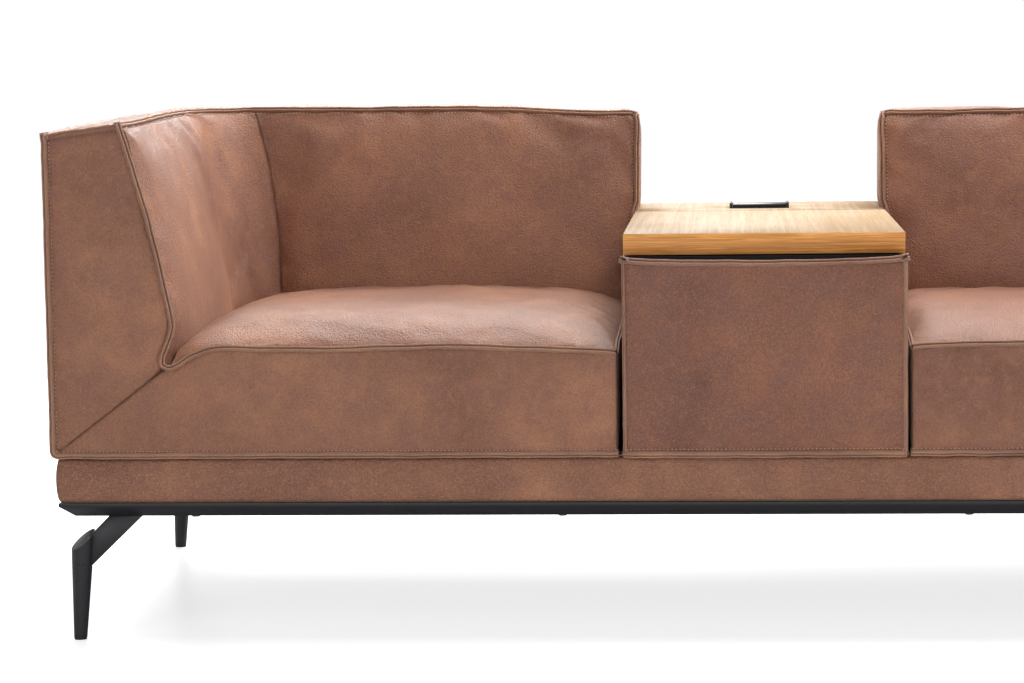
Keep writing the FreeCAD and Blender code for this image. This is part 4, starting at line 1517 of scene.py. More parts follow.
    def bulge(self, share: float, behind: float, height: float) -> float:
        """How far the arm's inner face bulges at a share along it, a depth and a height.

        Args:
            share: Share along the arm.
            behind: How far behind the front.
            height: The height.

        Returns:
            How far the face stands inwards.
        """
        near = 1 - fade(behind, self.belly_reach)
        rear = 1 - eased(share, self.belly_rear)
        top = 1 - self.belly_lost * eased(height, self.belly_top)
        return self.belly * near * rear * (eased(height, self.belly_foot) * top)

    def inner(self, station: Station, level: int) -> tuple[Array, Array, list[Border]]:
        """A point of the inner face.

        Args:
            station: Kind of stretch and the share along it.
            level: Index of the height.

        Returns:
            The point on the plane, the way it faces and the borders near it.
        """
        s = self.sizes
        kind, share = station
        height = float(self.heights[level])
        arm_out, back_y, lean = s.arm_out(height), s.back_y(height), s.arm_lean(height)
        across, along = s.bend(height)
        bend_length = (across + along) * QUARTER_ROUND
        if kind == "arm":
            run = back_y - along + s.half_depth
            y = -s.half_depth + share * run
            if share == 0.0 and level < self.low_levels:
                out = s.half_width - (s.half_width - s.mitre_out) * level / self.low_levels
                edge = Border(0.0, None, Join.FLAT, s.mitre_depth)
                return s.foot_rounded(np.array([out, y, height])), FRONT, [edge]
            out = arm_out + look_up(s.hook, height) * fade(y + s.half_depth, self.hook_reach)
            if level < self.low_levels:
                y = max(y, -s.half_depth + self.tuck)
            belly = self.bulge(share, y + s.half_depth, height)
            base, facing = np.array([out - belly, y, height]), np.array([-1.0, 0.0, lean])
            seam_gap = (1 - share) * run + bend_length
            borders = [Border(y + s.half_depth, FRONT)]
        elif kind == "bend":
            angle = share * math.pi / 2
            out = arm_out - across * (1 - math.cos(angle))
            y = back_y - along * (1 - math.sin(angle))
            base = np.array([out, y, height])
            facing = np.array([-along * math.cos(angle), -across * math.sin(angle), lean * along])
            seam_gap = (1 - share) * bend_length
            borders = []
        else:
            start = arm_out - across
            out = start - share * (start - s.back_inner)
            back_lean = (s.back_top_y - s.back_seat_y) / (s.wall_top - s.seat_level)
            facing = np.array([0.0, -1.0, back_lean])
            base = self.end_rounded(np.array([out, back_y, height]))
            seam_gap = start - out
            borders = [Border(out - s.back_inner, INWARD)]
        borders += [
            Border(s.wall_top - height, UP),
            Border(seam_gap, join=Join.FLAT, depth=s.mitre_depth),
        ]
        base[2] += self.lift(out, base[1], height)
        below = s.wall_top - height
        grows, fades = self.brow_reach
        brow = self.brow * (1 - fade(below, grows)) * fade(below, fades)
        return base + unit(facing) * brow, unit(facing), borders

    def outer(self, station: Station, level: int) -> tuple[Array, Array, list[Border]]:
        """A point of the outer face, with the way it faces and the borders near it.

        Args:
            station: Kind of stretch and the share along it.
            level: Index of the height.

        Returns:
            The point on the plane, the way it faces and the borders near it.
        """
        s = self.sizes
        kind, share = station
        shrink = (s.wall_outer_top - s.base_top) / (s.wall_top - s.base_top)
        if kind == "back":
            shrink += (1 - shrink) * eased(share, self.full_height)
        height = s.base_top + (float(self.heights[level]) - s.base_top) * shrink
        top = s.base_top + (s.wall_top - s.base_top) * shrink
        borders = [Border(top - height, UP), Border(height - s.base_top, -UP)]
        if kind == "arm" or (kind == "bend" and share <= 0.5):
            y = self.bend_y + math.sin(share * math.pi) * (s.half_depth - self.bend_y)
            if kind == "arm":
                y = -s.half_depth + share * (self.bend_y + s.half_depth)
                borders.append(Border(y + s.half_depth, FRONT))
            borders.append(Border(s.half_depth - y, REAR))
            base, facing = s.foot_rounded(np.array([s.half_width, y, height])), OUTWARD
        else:
            out = self.corner_out - share * (self.corner_out - s.back_inner)
            if kind == "bend":
                turn = 1 - math.sin(share * math.pi)
                out = s.half_width - turn * (s.half_width - self.corner_out)
            base, facing = np.array([out, s.half_depth, height]), REAR
            borders += [Border(s.half_width - out, OUTWARD), Border(out - s.back_inner, INWARD)]
            if kind == "back":
                base = self.end_rounded(base)
        drop = self.rear_drop * (1 - eased(base[0], self.drop_out)) * eased(height, self.drop_up)
        base[2] += self.lift(base[0], base[1], height) - drop
        return base, facing, borders

    def folded(self, station: Station, height: float) -> float:
        """Height of the soft upright folds in the inner corner, near the seat.

        Args:
            station: Kind of stretch and the share along it.
            height: The height.

        Returns:
            How far the leather stands out there.
        """
        kind, share = station
        across = {"bend": share, "back": 1.0 + share * 4, "arm": (share - 1) * 4}[kind]
        near_seat = fade(max(height - self.sizes.seat_level, 0.0), self.fold_reach)
        near_bend = bell(across - self.fold_middle, self.fold_middle)
        round_rate, up_rate = self.fold_rates
        wave = math.sin(across * round_rate + height * up_rate)
        return self.fold * wave * near_seat * near_bend

    def top_cells(self, station: Station) -> list[Cell]:
        """Points across the top at one station, from the outer to the inner edge.

        Args:
            station: Kind of stretch and the share along it.

        Returns:
            The cells, one for each share of the cross steps.
        """
        s = self.sizes
        inner_base, inner_facing, _ = self.inner(station, self.last)
        outer_base, outer_facing, _ = self.outer(station, self.last)
        width = float(np.linalg.norm(inner_base - outer_base))
        kind, share = station
        rolled = []
        if kind == "arm":
            gap = share * (self.bend_y + s.half_depth)
            rolled = [Border(gap, FRONT, Join.ROLLED, self.roll)]
        cells = []
        for place in self.cross:
            base = outer_base + (inner_base - outer_base) * float(place)
            edges = [
                Border(place * width, outer_facing), Border((1 - place) * width, inner_facing)
            ]
            cells.append(self.cell(base, UP, edges + rolled, self.swell_top))
        return cells

    def end_cap(self, inside: Array, outside: Array, facing: Array, seed: int) -> Array:
        """Grid between the inner and the outer face at an end of the wall.

        Args:
            inside: Inner face's points at the end, one for each level.
            outside: Outer face's points there.
            facing: Direction that the end faces.
            seed: Picks the unevenness.

        Returns:
            The grid, whose borders are the given points.
        """
        s, soft = self.sizes, self.softness
        rows = []
        for level, (inner_point, outer_point) in enumerate(zip(inside, outside)):
            width = float(np.linalg.norm(inner_point - outer_point))
            rise = s.wall_top - float(self.heights[level])
            mitred = facing is FRONT and level < self.low_levels
            row = []
            for share in self.cross:
                base = outer_point + (inner_point - outer_point) * share
                inner_gap, outer_gap = (1 - share) * width, share * width
                fall, inner_depth = soft.sunk(outer_gap, s.seam_depth), s.seam_depth
                if mitred:
                    inner_depth = s.mitre_depth
                    fall = max(fall, soft.creased(inner_gap, inner_depth))
                else:
                    fall = max(fall, soft.sunk(inner_gap, inner_depth))
                gap = min(inner_gap, outer_gap, rise)
                if facing is FRONT:
                    depth, half = self.rim_groove
                    fall += depth * bell(rise - self.rim, half)
                    fall += self.roll_fall * self.roll * max(0.0, 1 - rise / self.roll)
                    gap = min(inner_gap, outer_gap, abs(rise - self.rim))
                lift = s.seam_depth * (1 - share) + inner_depth * share - fall
                lift += self.swell_end * soft.risen(min(inner_gap, outer_gap))
                lift *= float(0.0 < share < 1.0)
                free = soft.loose(gap)
                row.append((base + facing * lift, facing, free))
            rows.append(row)
        return self.settled(rows, seed)

    def build_mesh(self) -> Draft:
        """Build the closed wall out of its faces.

        Returns:
            The mesh in the making.
        """
        seed = 100 + 40 * (self.side is Side.RIGHT)
        levels = range(self.last + 1)
        inner_cells, outer_cells = [], []
        for station in self.stations:
            row = [self.cell(*self.inner(station, level), self.swell_inside) for level in levels]
            folds = [self.folded(station, float(height)) for height in self.heights]
            inner_cells.append([
                (placed + facing * fold * free, facing, free)
                for (placed, facing, free), fold in zip(row, folds)
            ])
            outer_cells.append([
                self.cell(*self.outer(station, level), self.swell_outside) for level in levels
            ])
        inner, outer = self.settled(inner_cells, seed), self.settled(outer_cells, seed + 3)
        top = self.settled([self.top_cells(station) for station in self.stations], seed + 6)
        top[:, 0], top[:, -1] = outer[:, -1], inner[:, -1]
        front, end = (
            self.end_cap(
                turned(inner[index, :, :3], self.side), turned(outer[index, :, :3], self.side),
                way, seed + 9,
            )
            for index, way in ((0, FRONT), (-1, INWARD))
        )
        front[-1], end[-1] = top[0], top[-1]
        bottom = np.stack(
            [outer[:, 0] + (inner[:, 0] - outer[:, 0]) * share for share in self.cross], axis=1
        )
        front[0], end[0] = bottom[0], bottom[-1]
        corner = next(
            index for index, (kind, share) in enumerate(self.stations)
            if kind == "bend" and share >= 0.5
        )
        draft = Draft()
        for rows, panel in (
            (inner[: self.bend_end + 1], Panel.ARM_INSIDE),
            (inner[self.bend_end:], Panel.BACK_INSIDE),
            (outer[: corner + 1], Panel.ARM_OUTSIDE),
            (outer[corner:], Panel.BACK_REAR),
            (top, Panel.WALL_TOP),
            (bottom[..., :3], Panel.WALL_TOP),
            (front, Panel.ARM_FRONT),
            (end, Panel.BACK_END),
        ):
            draft.grid(rows, panel)
        return draft

    def add_seams(self, work: SeamWork) -> None:
        """Add the wall's raised seams.

        Args:
            work: Collects the unit's seams.
        """
        s = self.sizes
        end = ("back", 1.0)
        inner_rim, outer_rim, foot = [], [], []
        for station in self.stations:
            inner_rim.append((*self.inner(station, self.last)[:2], UP))
            outer_rim.append((*self.outer(station, self.last)[:2], UP))
            foot.append((*self.outer(station, 0)[:2], -UP))
        for level in range(self.last - 1, self.low_levels + 2, -1):
            inner_rim.append((*self.inner(end, level)[:2], INWARD))
        for level in range(self.last - 1, -1, -1):
            outer_rim.append((*self.outer(end, level)[:2], INWARD))
        for run in (inner_rim, outer_rim, foot):
            work.add(self.side, *columns(run))
        self.add_front_seam(work)
        rear = [
            np.array([s.half_width, s.half_depth, height])
            for height in np.linspace(s.wall_outer_top, s.base_top, self.seam_points[0])
        ]
        work.add(self.side, rear, OUTWARD, REAR, stitched=False)

    def add_front_seam(self, work: SeamWork) -> None:
        """Add the seam down the arm's outer front edge and along the front's foot.

        Args:
            work: Collects the unit's seams.
        """
        s = self.sizes
        down, round_foot, along = self.seam_points
        low_end = s.base_top + s.foot_radius
        run = [
            (np.array([s.half_width, -s.half_depth, height]), OUTWARD)
            for height in np.linspace(s.wall_outer_top, low_end, down)
        ]
        run[0] = (run[0][0] + self.seam_start * (UP + OUTWARD), OUTWARD)
        for angle in np.linspace(0, math.pi / 2, round_foot)[1:]:
            way = OUTWARD * math.cos(angle) - UP * math.sin(angle)
            centre = np.array([s.half_width - s.foot_radius, -s.half_depth, low_end])
            run.append((centre + way * s.foot_radius, way))
        foot_end = s.half_width - s.foot_radius
        for out in np.linspace(foot_end, s.seat_ends[self.side], along)[1:]:
            run.append((np.array([out, -s.half_depth, s.base_top]), -UP))
        places, ways = columns(run)
        work.add(self.side, places, FRONT, ways, depth=self.front_seam_depth)

    def build(self, finishes: Finishes, work: SeamWork) -> bpy.types.Object:
        """Build the wall.

        Args:
            finishes: The sofa's materials.
            work: Collects the unit's seams.

        Returns:
            The wall.
        """
        word = self.side.word
        wall = self.build_mesh().finish(f"wall_{word}", finishes["leather"])
        smooth_once(wall)
        self.settling.run(wall)
        self.add_seams(work)
        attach(wall, "sofa")
        nodes = ("arm_pad", "arm_front_panel", "arm_outer_cover", "back_pad", "back_rear_cover")
        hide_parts(*(f"{node}_{word}" for node in nodes))
        return wall


@dataclass
class SeatUnit(Unit):
    """Seat of one side: crowned top, padded front with its mitre, and its end."""

    front_ease: float = 0.060  # How far from the front the crown takes to rise
    rear_loss: float = 0.10  # Share of its rise that the crown loses towards the back
    # Start and length, behind the front, of the stretch where it loses it
    rear_span: Span = (0.48, 0.13)
    arm_kept: float = 0.15  # Share of the rise that is left beside the arm
    arm_reach: float = 50 * MM  # How far from the arm the crown takes to rise
    wedge: float = 7 * MM  # Thickness of the front where it runs under the arm's front
    dent: float = 6 * MM  # Depth of the hollow in the top beside the console
    dent_reach: float = 30 * MM  # How far from the console the hollow fades out
    # How far behind the front it is deepest, and how wide it spreads
    dent_depth: Pair = (0.15, 0.13)
    dip_reach: float = 0.03  # How far behind the front the seam's dips fade out
    swell_front: float = 2.5 * MM  # How far the front swells
    end_roll: float = 8 * MM  # Radius of the front's edge beside the console
    end_seam: float = 4 * MM  # Depth of the seam along the end
    # Lengths of the front and the crown that the mesh's steps are made for
    lengths: Pair = (0.16, 0.61)
    coarse: float = 20 * MM  # Longest step of the mesh up the front and along the crown
    inset: float = 30 * MM  # How far behind the front the hidden underside starts
    sunk: float = 15 * MM  # How far below the foam's top that underside lies
    end_puff: float = 3.0 * MM  # How far the end swells towards the console
    end_rings: tuple[float, ...] = (0.97, 0.9, 0.5, 0.0)  # Its rings, as shares of its outline
    end_scale: float = 0.8  # Size of the end's seam, as a share of the others'
    across_step: float = 22 * MM  # Longest step of the mesh across the crown
    wedge_sections: int = 12  # Number of sections of the front under the arm
    crown_past: float = 2 * MM  # How far past the arm's face the crown ends
    wedge_past: float = 4 * MM  # How far past it the wedge starts
    rear_tuck: float = 3 * MM  # How far the crown runs behind the back's face
    mitre_reach: float = 0.1  # How far inside the mitre's inner end its seam is looked for
    # How far above the wall's top and above the mitre the arm's front seam starts and ends
    seam_above: Pair = (3 * MM, 4 * MM)
    # How far inside the mitre and inside the seat's end it goes on and ends
    seam_inside: Pair = (6 * MM, 3 * MM)
    end_seam_start: float = 2 * MM  # How far behind the front the end's seam starts
    # Points of the seams: down the arm's front, along the seat's and along the end
    seam_points: tuple[int, int, int] = (60, 90, 60)
    settling: Settling = Settling(slack=0.003, cap=1.5 * MM)  # How the leather settles

    @property
    def end_out(self) -> float:
        """Out of the end beside the console."""
        return self.sizes.seat_ends[self.side]

    def seam_height(self, out: float) -> float:
        """Height of the seat's front seam, and of the mitre beyond it.

        Args:
            out: Out along the front.

        Returns:
            The height.
        """
        s = self.sizes
        if out > s.mitre_out:
            return s.mitre_height(out)
        return s.seam_height + look_up(s.front_seam[self.side], out)

    def rear_y(self, out: float) -> float:
        """Y of the cushion's rear edge, rounded beside the arm.

        Args:
            out: Out along the rear edge.

        Returns:
            The y.
        """
        s = self.sizes
        across, along = s.bend(s.seat_level)
        past = min(max(out - (s.arm_seat_out - across), 0.0), across)
        return s.back_seat_y + self.rear_tuck - along * (1 - math.sqrt(1 - (past / across) ** 2))

    def crown(self, out: float, y: float) -> float:
        """Height of the cushion's top.

        Args:
            out: Out of the place.
            y: Its y.

        Returns:
            The height.
        """
        s = self.sizes
        depth = y + s.half_depth
        held = min(out, s.arm_seat_out)
        front = 1 - fade(depth, self.front_ease)
        rear = 1 - self.rear_loss * eased(depth, self.rear_span)
        rise, kept, ease = s.seat_crown[self.side]
        inside = out - self.end_out
        end = kept + (1 - kept) * (1 - fade(inside, ease))
        beside_arm = 1 - fade(s.arm_seat_out - held, self.arm_reach)
        arm = self.arm_kept + (1 - self.arm_kept) * beside_arm
        deepest, spread = self.dent_depth
        hollow = self.dent * math.exp(-inside / self.dent_reach - ((depth - deepest) / spread) ** 2)
        dip = self.seam_height(min(out, s.mitre_out)) - s.seam_height
        dip *= fade(depth, self.dip_reach)
        return s.seam_height + dip + rise * front * rear * end * arm - hollow

    def front_borders(self, out: float, height: float) -> list[Border]:
        """Borders near a point of the front panel.

        Args:
            out: Out of the point.
            height: Its height.

        Returns:
            The borders.
        """
        s = self.sizes
        slope = math.atan2(s.mitre_top - s.base_top, s.half_width - s.mitre_out)
        borders = [
            Border(height - s.base_top, -UP),
            Border(out - self.end_out, INWARD, Join.ROLLED, self.end_roll),
        ]
        if out < s.mitre_out:
            borders.append(Border(self.seam_height(out) - height, UP))
        if out > s.mitre_out - self.mitre_reach:
            gap = (s.mitre_height(out) - height) * math.cos(slope)
            borders.append(Border(gap, join=Join.FLAT, depth=s.mitre_depth))
        return borders

    def section(self, out: float) -> tuple[list[Cell], list[Cell], list[Array]]:
        """Cells of the front and of the crown at one out, and the hidden way back.

        Args:
            out: Out of the section.

        Returns:
            The front's cells, the crown's cells and the hidden points.
        """
        s = self.sizes
        top = self.seam_height(out)
        thin = out > s.arm_seat_out + (self.crown_past + self.wedge_past) / 2
        front, crown = [], []
        for share in ladder(self.lengths[0], self.coarse):
            height = s.base_top + (top - s.base_top) * float(share)
            base = s.foot_rounded(np.array([out, -s.half_depth, height]))
            borders = self.front_borders(out, height)
            front.append(self.cell(base, FRONT, borders, self.swell_front))
        rear = -s.half_depth + self.wedge if thin else self.rear_y(out)
        for share in ladder(self.lengths[1], self.coarse):
            y = -s.half_depth + float(share) * (rear + s.half_depth)
            base = np.array([out, y, top if thin else self.crown(out, y)])
            end = Border(out - self.end_out, INWARD, Join.WELTED, self.end_seam)
            placed = self.cell(base, UP, [Border(y + s.half_depth, FRONT), end], 0.0)
            crown.append((base, UP, 0.0) if thin or share == 1.0 else placed)
        crown[0] = (front[-1][0], UP, 0.0)
        low = s.base_top if thin else s.foam_top - self.sunk
        inset = min(rear, -s.half_depth + self.inset)
        last, first = crown[-1][0], front[0][0]
        hidden = [
            last,
            np.array([last[0], last[1], (last[2] + low) / 2]),
            np.array([last[0], last[1], low]),
            np.array([last[0], inset, low]),
            np.array([first[0], inset, first[2]]),
            first,
        ]
        return front, crown, hidden

    def build_mesh(self) -> Draft:
        """Build the closed seat out of its sections.

        Returns:
            The mesh in the making.
        """
        s = self.sizes
        seed = 300 + 40 * (self.side is Side.RIGHT)
        width = s.arm_seat_out + self.crown_past - self.end_out
        outs = np.concatenate([
            self.end_out + width * ladder(width, self.across_step),
            np.linspace(s.arm_seat_out + self.wedge_past, s.half_width, self.wedge_sections),
        ])
        sections = [self.section(float(out)) for out in outs]
        front = self.settled([section[0] for section in sections], seed)
        crown = self.settled([section[1] for section in sections], seed + 3)
        crown[:, 0] = front[:, -1]
        hidden = turned(np.array([section[2] for section in sections]), self.side)
        hidden[:, 0], hidden[:, -1] = crown[:, -1, :3], front[:, 0, :3]
        draft = Draft()
        draft.grid(front, Panel.SEAT_FRONT)
        draft.grid(crown, Panel.SEAT_TOP)
        draft.grid(hidden, Panel.SEAT_SIDE)
        outline = np.vstack([front[0, :, :3], crown[0, 1:, :3], hidden[0, 1:]])
        middle = outline.mean(axis=0)
        rings = [outline]
        for share in self.end_rings:
            ring = middle + (outline - middle) * share
            ring[:, 0] -= self.side.value * self.end_puff * min(1.0, (1 - share) * 8)
            rings.append(ring)
        draft.grid(np.array(rings), Panel.SEAT_SIDE)
        return draft

    def add_seams(self, work: SeamWork) -> None:
        """Add the seam that runs down the arm's front and along the seat, and the end's.

        Args:
            work: Collects the unit's seams.
        """
        s = self.sizes
        down, along_front, along_end = self.seam_points
        start, end = s.wall_top + self.seam_above[0], s.mitre_top + self.seam_above[1]
        rows = []
        for height in np.linspace(start, end, down):
            held = min(float(height), s.wall_top)
            out = s.arm_out(held) + look_up(s.hook, held)
            inward = unit(np.array([-1.0, 0.0, s.arm_lean(held)]))
            rows.append((np.array([out, -s.half_depth, height]), inward))
        start, end = s.mitre_out - self.seam_inside[0], self.end_out + self.seam_inside[1]
        for out in np.linspace(start, end, along_front):
            rows.append((np.array([out, -s.half_depth, self.seam_height(float(out))]), UP))
        places, ways = columns(rows)
        work.add(self.side, places, FRONT, ways, stitched=False)
        along = [
            np.array([self.end_out, y, self.crown(self.end_out, float(y))])
            for y in np.linspace(-s.half_depth + self.end_seam_start, s.back_seat_y, along_end)
        ]
        options = {"depth": self.end_seam, "scale": self.end_scale, "stitched": False}
        work.add(self.side, along, UP, INWARD, **options)

    def build(self, finishes: Finishes) -> bpy.types.Object:
        """Build the seat.

        Args:
            finishes: The sofa's materials.

        Returns:
            The seat.
        """
        word = self.side.word
        seat = self.build_mesh().finish(f"seat_{word}", finishes["leather"])
        smooth_once(seat)
        self.settling.run(seat)
        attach(seat, "sofa")
        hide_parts(f"seat_cushion_{word}", f"seat_front_panel_{word}")
        return seat


@dataclass
class RingCover:
    """Leather round a box: an outer face with a ledge on top, closed inside."""

    name: str  # Name of the piece
    out: float  # Half of its width
    ends: Pair  # Y of its front and of its rear
    levels: Pair  # Heights of its lower and its upper edge
    walls: Pair  # Thickness of its front and of its other sides
    corner: tuple[Join, float]  # How the upright corners are made, and their depth or radius
    rim: tuple[Join, float]  # How the upper and lower edges are made, and their depth or radius
    panel: Panel  # Piece of the hide
    bulge: float = 0.0  # How far the middle of the height stands out
    swell: float = 1.5 * MM  # How far the leather swells between its seams
    middle_seam: bool = False  # Whether the front has an upright seam in the middle
    seam_dip: float = 1.8 * MM  # Depth of that seam
    flare_reach: float = 8 * MM  # How far from a corner the flare of the top seam fades out
    coarse: Pair = (24 * MM, 22 * MM)  # Longest steps of the mesh round it and up it
    middle_step: float = 1.2 * MM  # Step of the mesh beside the middle seam
    seam_steps: Triple = (25 * MM, 4 * MM, 4 * MM)  # Longest, first and last step of a level seam
    upright_points: int = 30  # Number of points of an upright seam
    upright_scale: float = 0.5  # Size of an upright seam, as a share of a level one's
    seed: int = 500  # Picks the unevenness
    softness: Softness = Softness()  # How the leather swells between its seams

    def sides(self) -> list[tuple[Array, Array, Array]]:
        """Start, end and facing of each of the four outer faces.

        Returns:
            The four faces, from the front on.
        """
        front, rear = self.ends
        plan = [(-self.out, front), (self.out, front), (self.out, rear), (-self.out, rear)]
        corners = [np.array([x, y, 0.0]) for x, y in plan]
        ways = [FRONT, OUTWARD, REAR, INWARD]
        return [(corners[k], corners[(k + 1) % 4], ways[k]) for k in range(4)]

    def inner_corner(self, point: Array) -> Array:
        """The same place on the inner outline."""
        out = self.out - self.walls[1]
        low, high = self.ends[0] + self.walls[0], self.ends[1] - self.walls[1]
        return np.array([np.clip(point[0], -out, out), np.clip(point[1], low, high), point[2]])

    def shares(self, length: float, facing: Array) -> Array:
        """Shares along one outer face, short beside the corners and the middle seam.

        Args:
            length: Length of the face.
            facing: Direction that it faces.

        Returns:
            The shares in order.
        """
        if self.middle_seam and facing is FRONT:
            half = ladder(length / 2, self.coarse[0], last=self.middle_step) / 2
            return np.concatenate([half, 1 - half[-2::-1]])
        return ladder(length, self.coarse[0])

    def outer_face(self, index: int, heights: Array) -> Array:
        """Points of one outer face, by place along it and height.

        Args:
            index: Number of the face.
            heights: Heights of its rows.

        Returns:
            The grid of points.
        """
        low, high = self.levels
        sides = self.sides()
        start, end, facing = sides[index]
        before, after = sides[index - 1][2], sides[(index + 1) % 4][2]
        length = float(np.linalg.norm(end - start))
        rows, free = [], []
        for share in self.shares(length, facing):
            plan = start + (end - start) * float(share)
            row, hold = [], []
            for height in heights:
                borders = [
                    Border(share * length, before, *self.corner),
                    Border((1 - share) * length, after, *self.corner),
                    Border(high - height, UP, *self.rim),
                    Border(height - low, -UP, *self.rim),
                ]
                placed = self.softness.place(plan + UP * height, facing, borders, self.swell)
                puff = self.bulge * math.sin(math.pi * (height - low) / (high - low))
                placed += puff * (facing + unit(end - start) * (2 * share - 1))
                if self.middle_seam and facing is FRONT:
                    placed -= facing * self.softness.creased(abs(plan[0]), self.seam_dip)
                row.append(placed)
                hold.append(self.softness.loose(nearest(borders)))
            rows.append(row)
            free.append(hold)
        return self.softness.ruffle(np.array(rows), facing, free, self.seed + index)

    def build_mesh(self) -> Draft:
        """Build the closed ring.

        Returns:
            The mesh in the making.
        """
        low, high = self.levels
        draft = Draft()
        heights = low + (high - low) * ladder(high - low, self.coarse[1])
        for index in range(4):
            face = self.outer_face(index, heights)
            draft.grid(face, self.panel)
            outer = face[..., :3]
            top_in = np.array([self.inner_corner(row[-1]) for row in outer])
            low_in = np.array([self.inner_corner(row[0]) for row in outer])
            for lines in (
                [outer[:, -1], (outer[:, -1] + top_in) / 2, top_in],
                [top_in, (top_in + low_in) / 2, low_in],
                [low_in, outer[:, 0]],
            ):
                draft.grid(np.stack(lines, 1), self.panel)
        return draft

    def add_seams(self, work: SeamWork, flare: float, sag: float) -> None:
        """Add raised seams along the upright corners, the top and the bottom.

        Args:
            work: Collects the unit's seams.
            flare: How far the top seam's corners stand up and out.
            sag: How far the top seam hangs between them.
        """
        low, high = self.levels
        sides = self.sides()
        for index, (start, end, facing) in enumerate(sides):
            length = float(np.linalg.norm(end - start))
            for level, way in ((high, UP), (low, -UP)):
                points = []
                for share in ladder(length, *self.seam_steps):
                    near = fade(min(share, 1 - share) * length, self.flare_reach) * (way is UP)
                    lift = flare * near - sag * math.sin(math.pi * share) * (way is UP)
                    away = unit(end - start) * flare * near * (1 if share > 0.5 else -1)
                    points.append(start + (end - start) * share + UP * (level + lift) + away)
                options = {"depth": self.rim[1], "stitched": way is not UP}
                work.add(Side.RIGHT, points, facing, way, **options)
            heights = np.linspace(low, high, self.upright_points)
            points = [start + UP * height for height in heights]
            work.add(
                Side.RIGHT, points, facing, sides[index - 1][2],
                depth=self.corner[1], scale=self.upright_scale, stitched=False,
            )

    def build(self, material: bpy.types.Material, *nodes: str) -> bpy.types.Object:
        """Build the cover as a smooth closed piece that replaces CAD nodes.

        Args:
            material: Its leather.
            *nodes: The CAD nodes.

        Returns:
            The cover.
        """
        cover = self.build_mesh().finish(self.name, material)
        smooth_once(cover)
        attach(cover, "sofa")
        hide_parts(*nodes)
        return cover


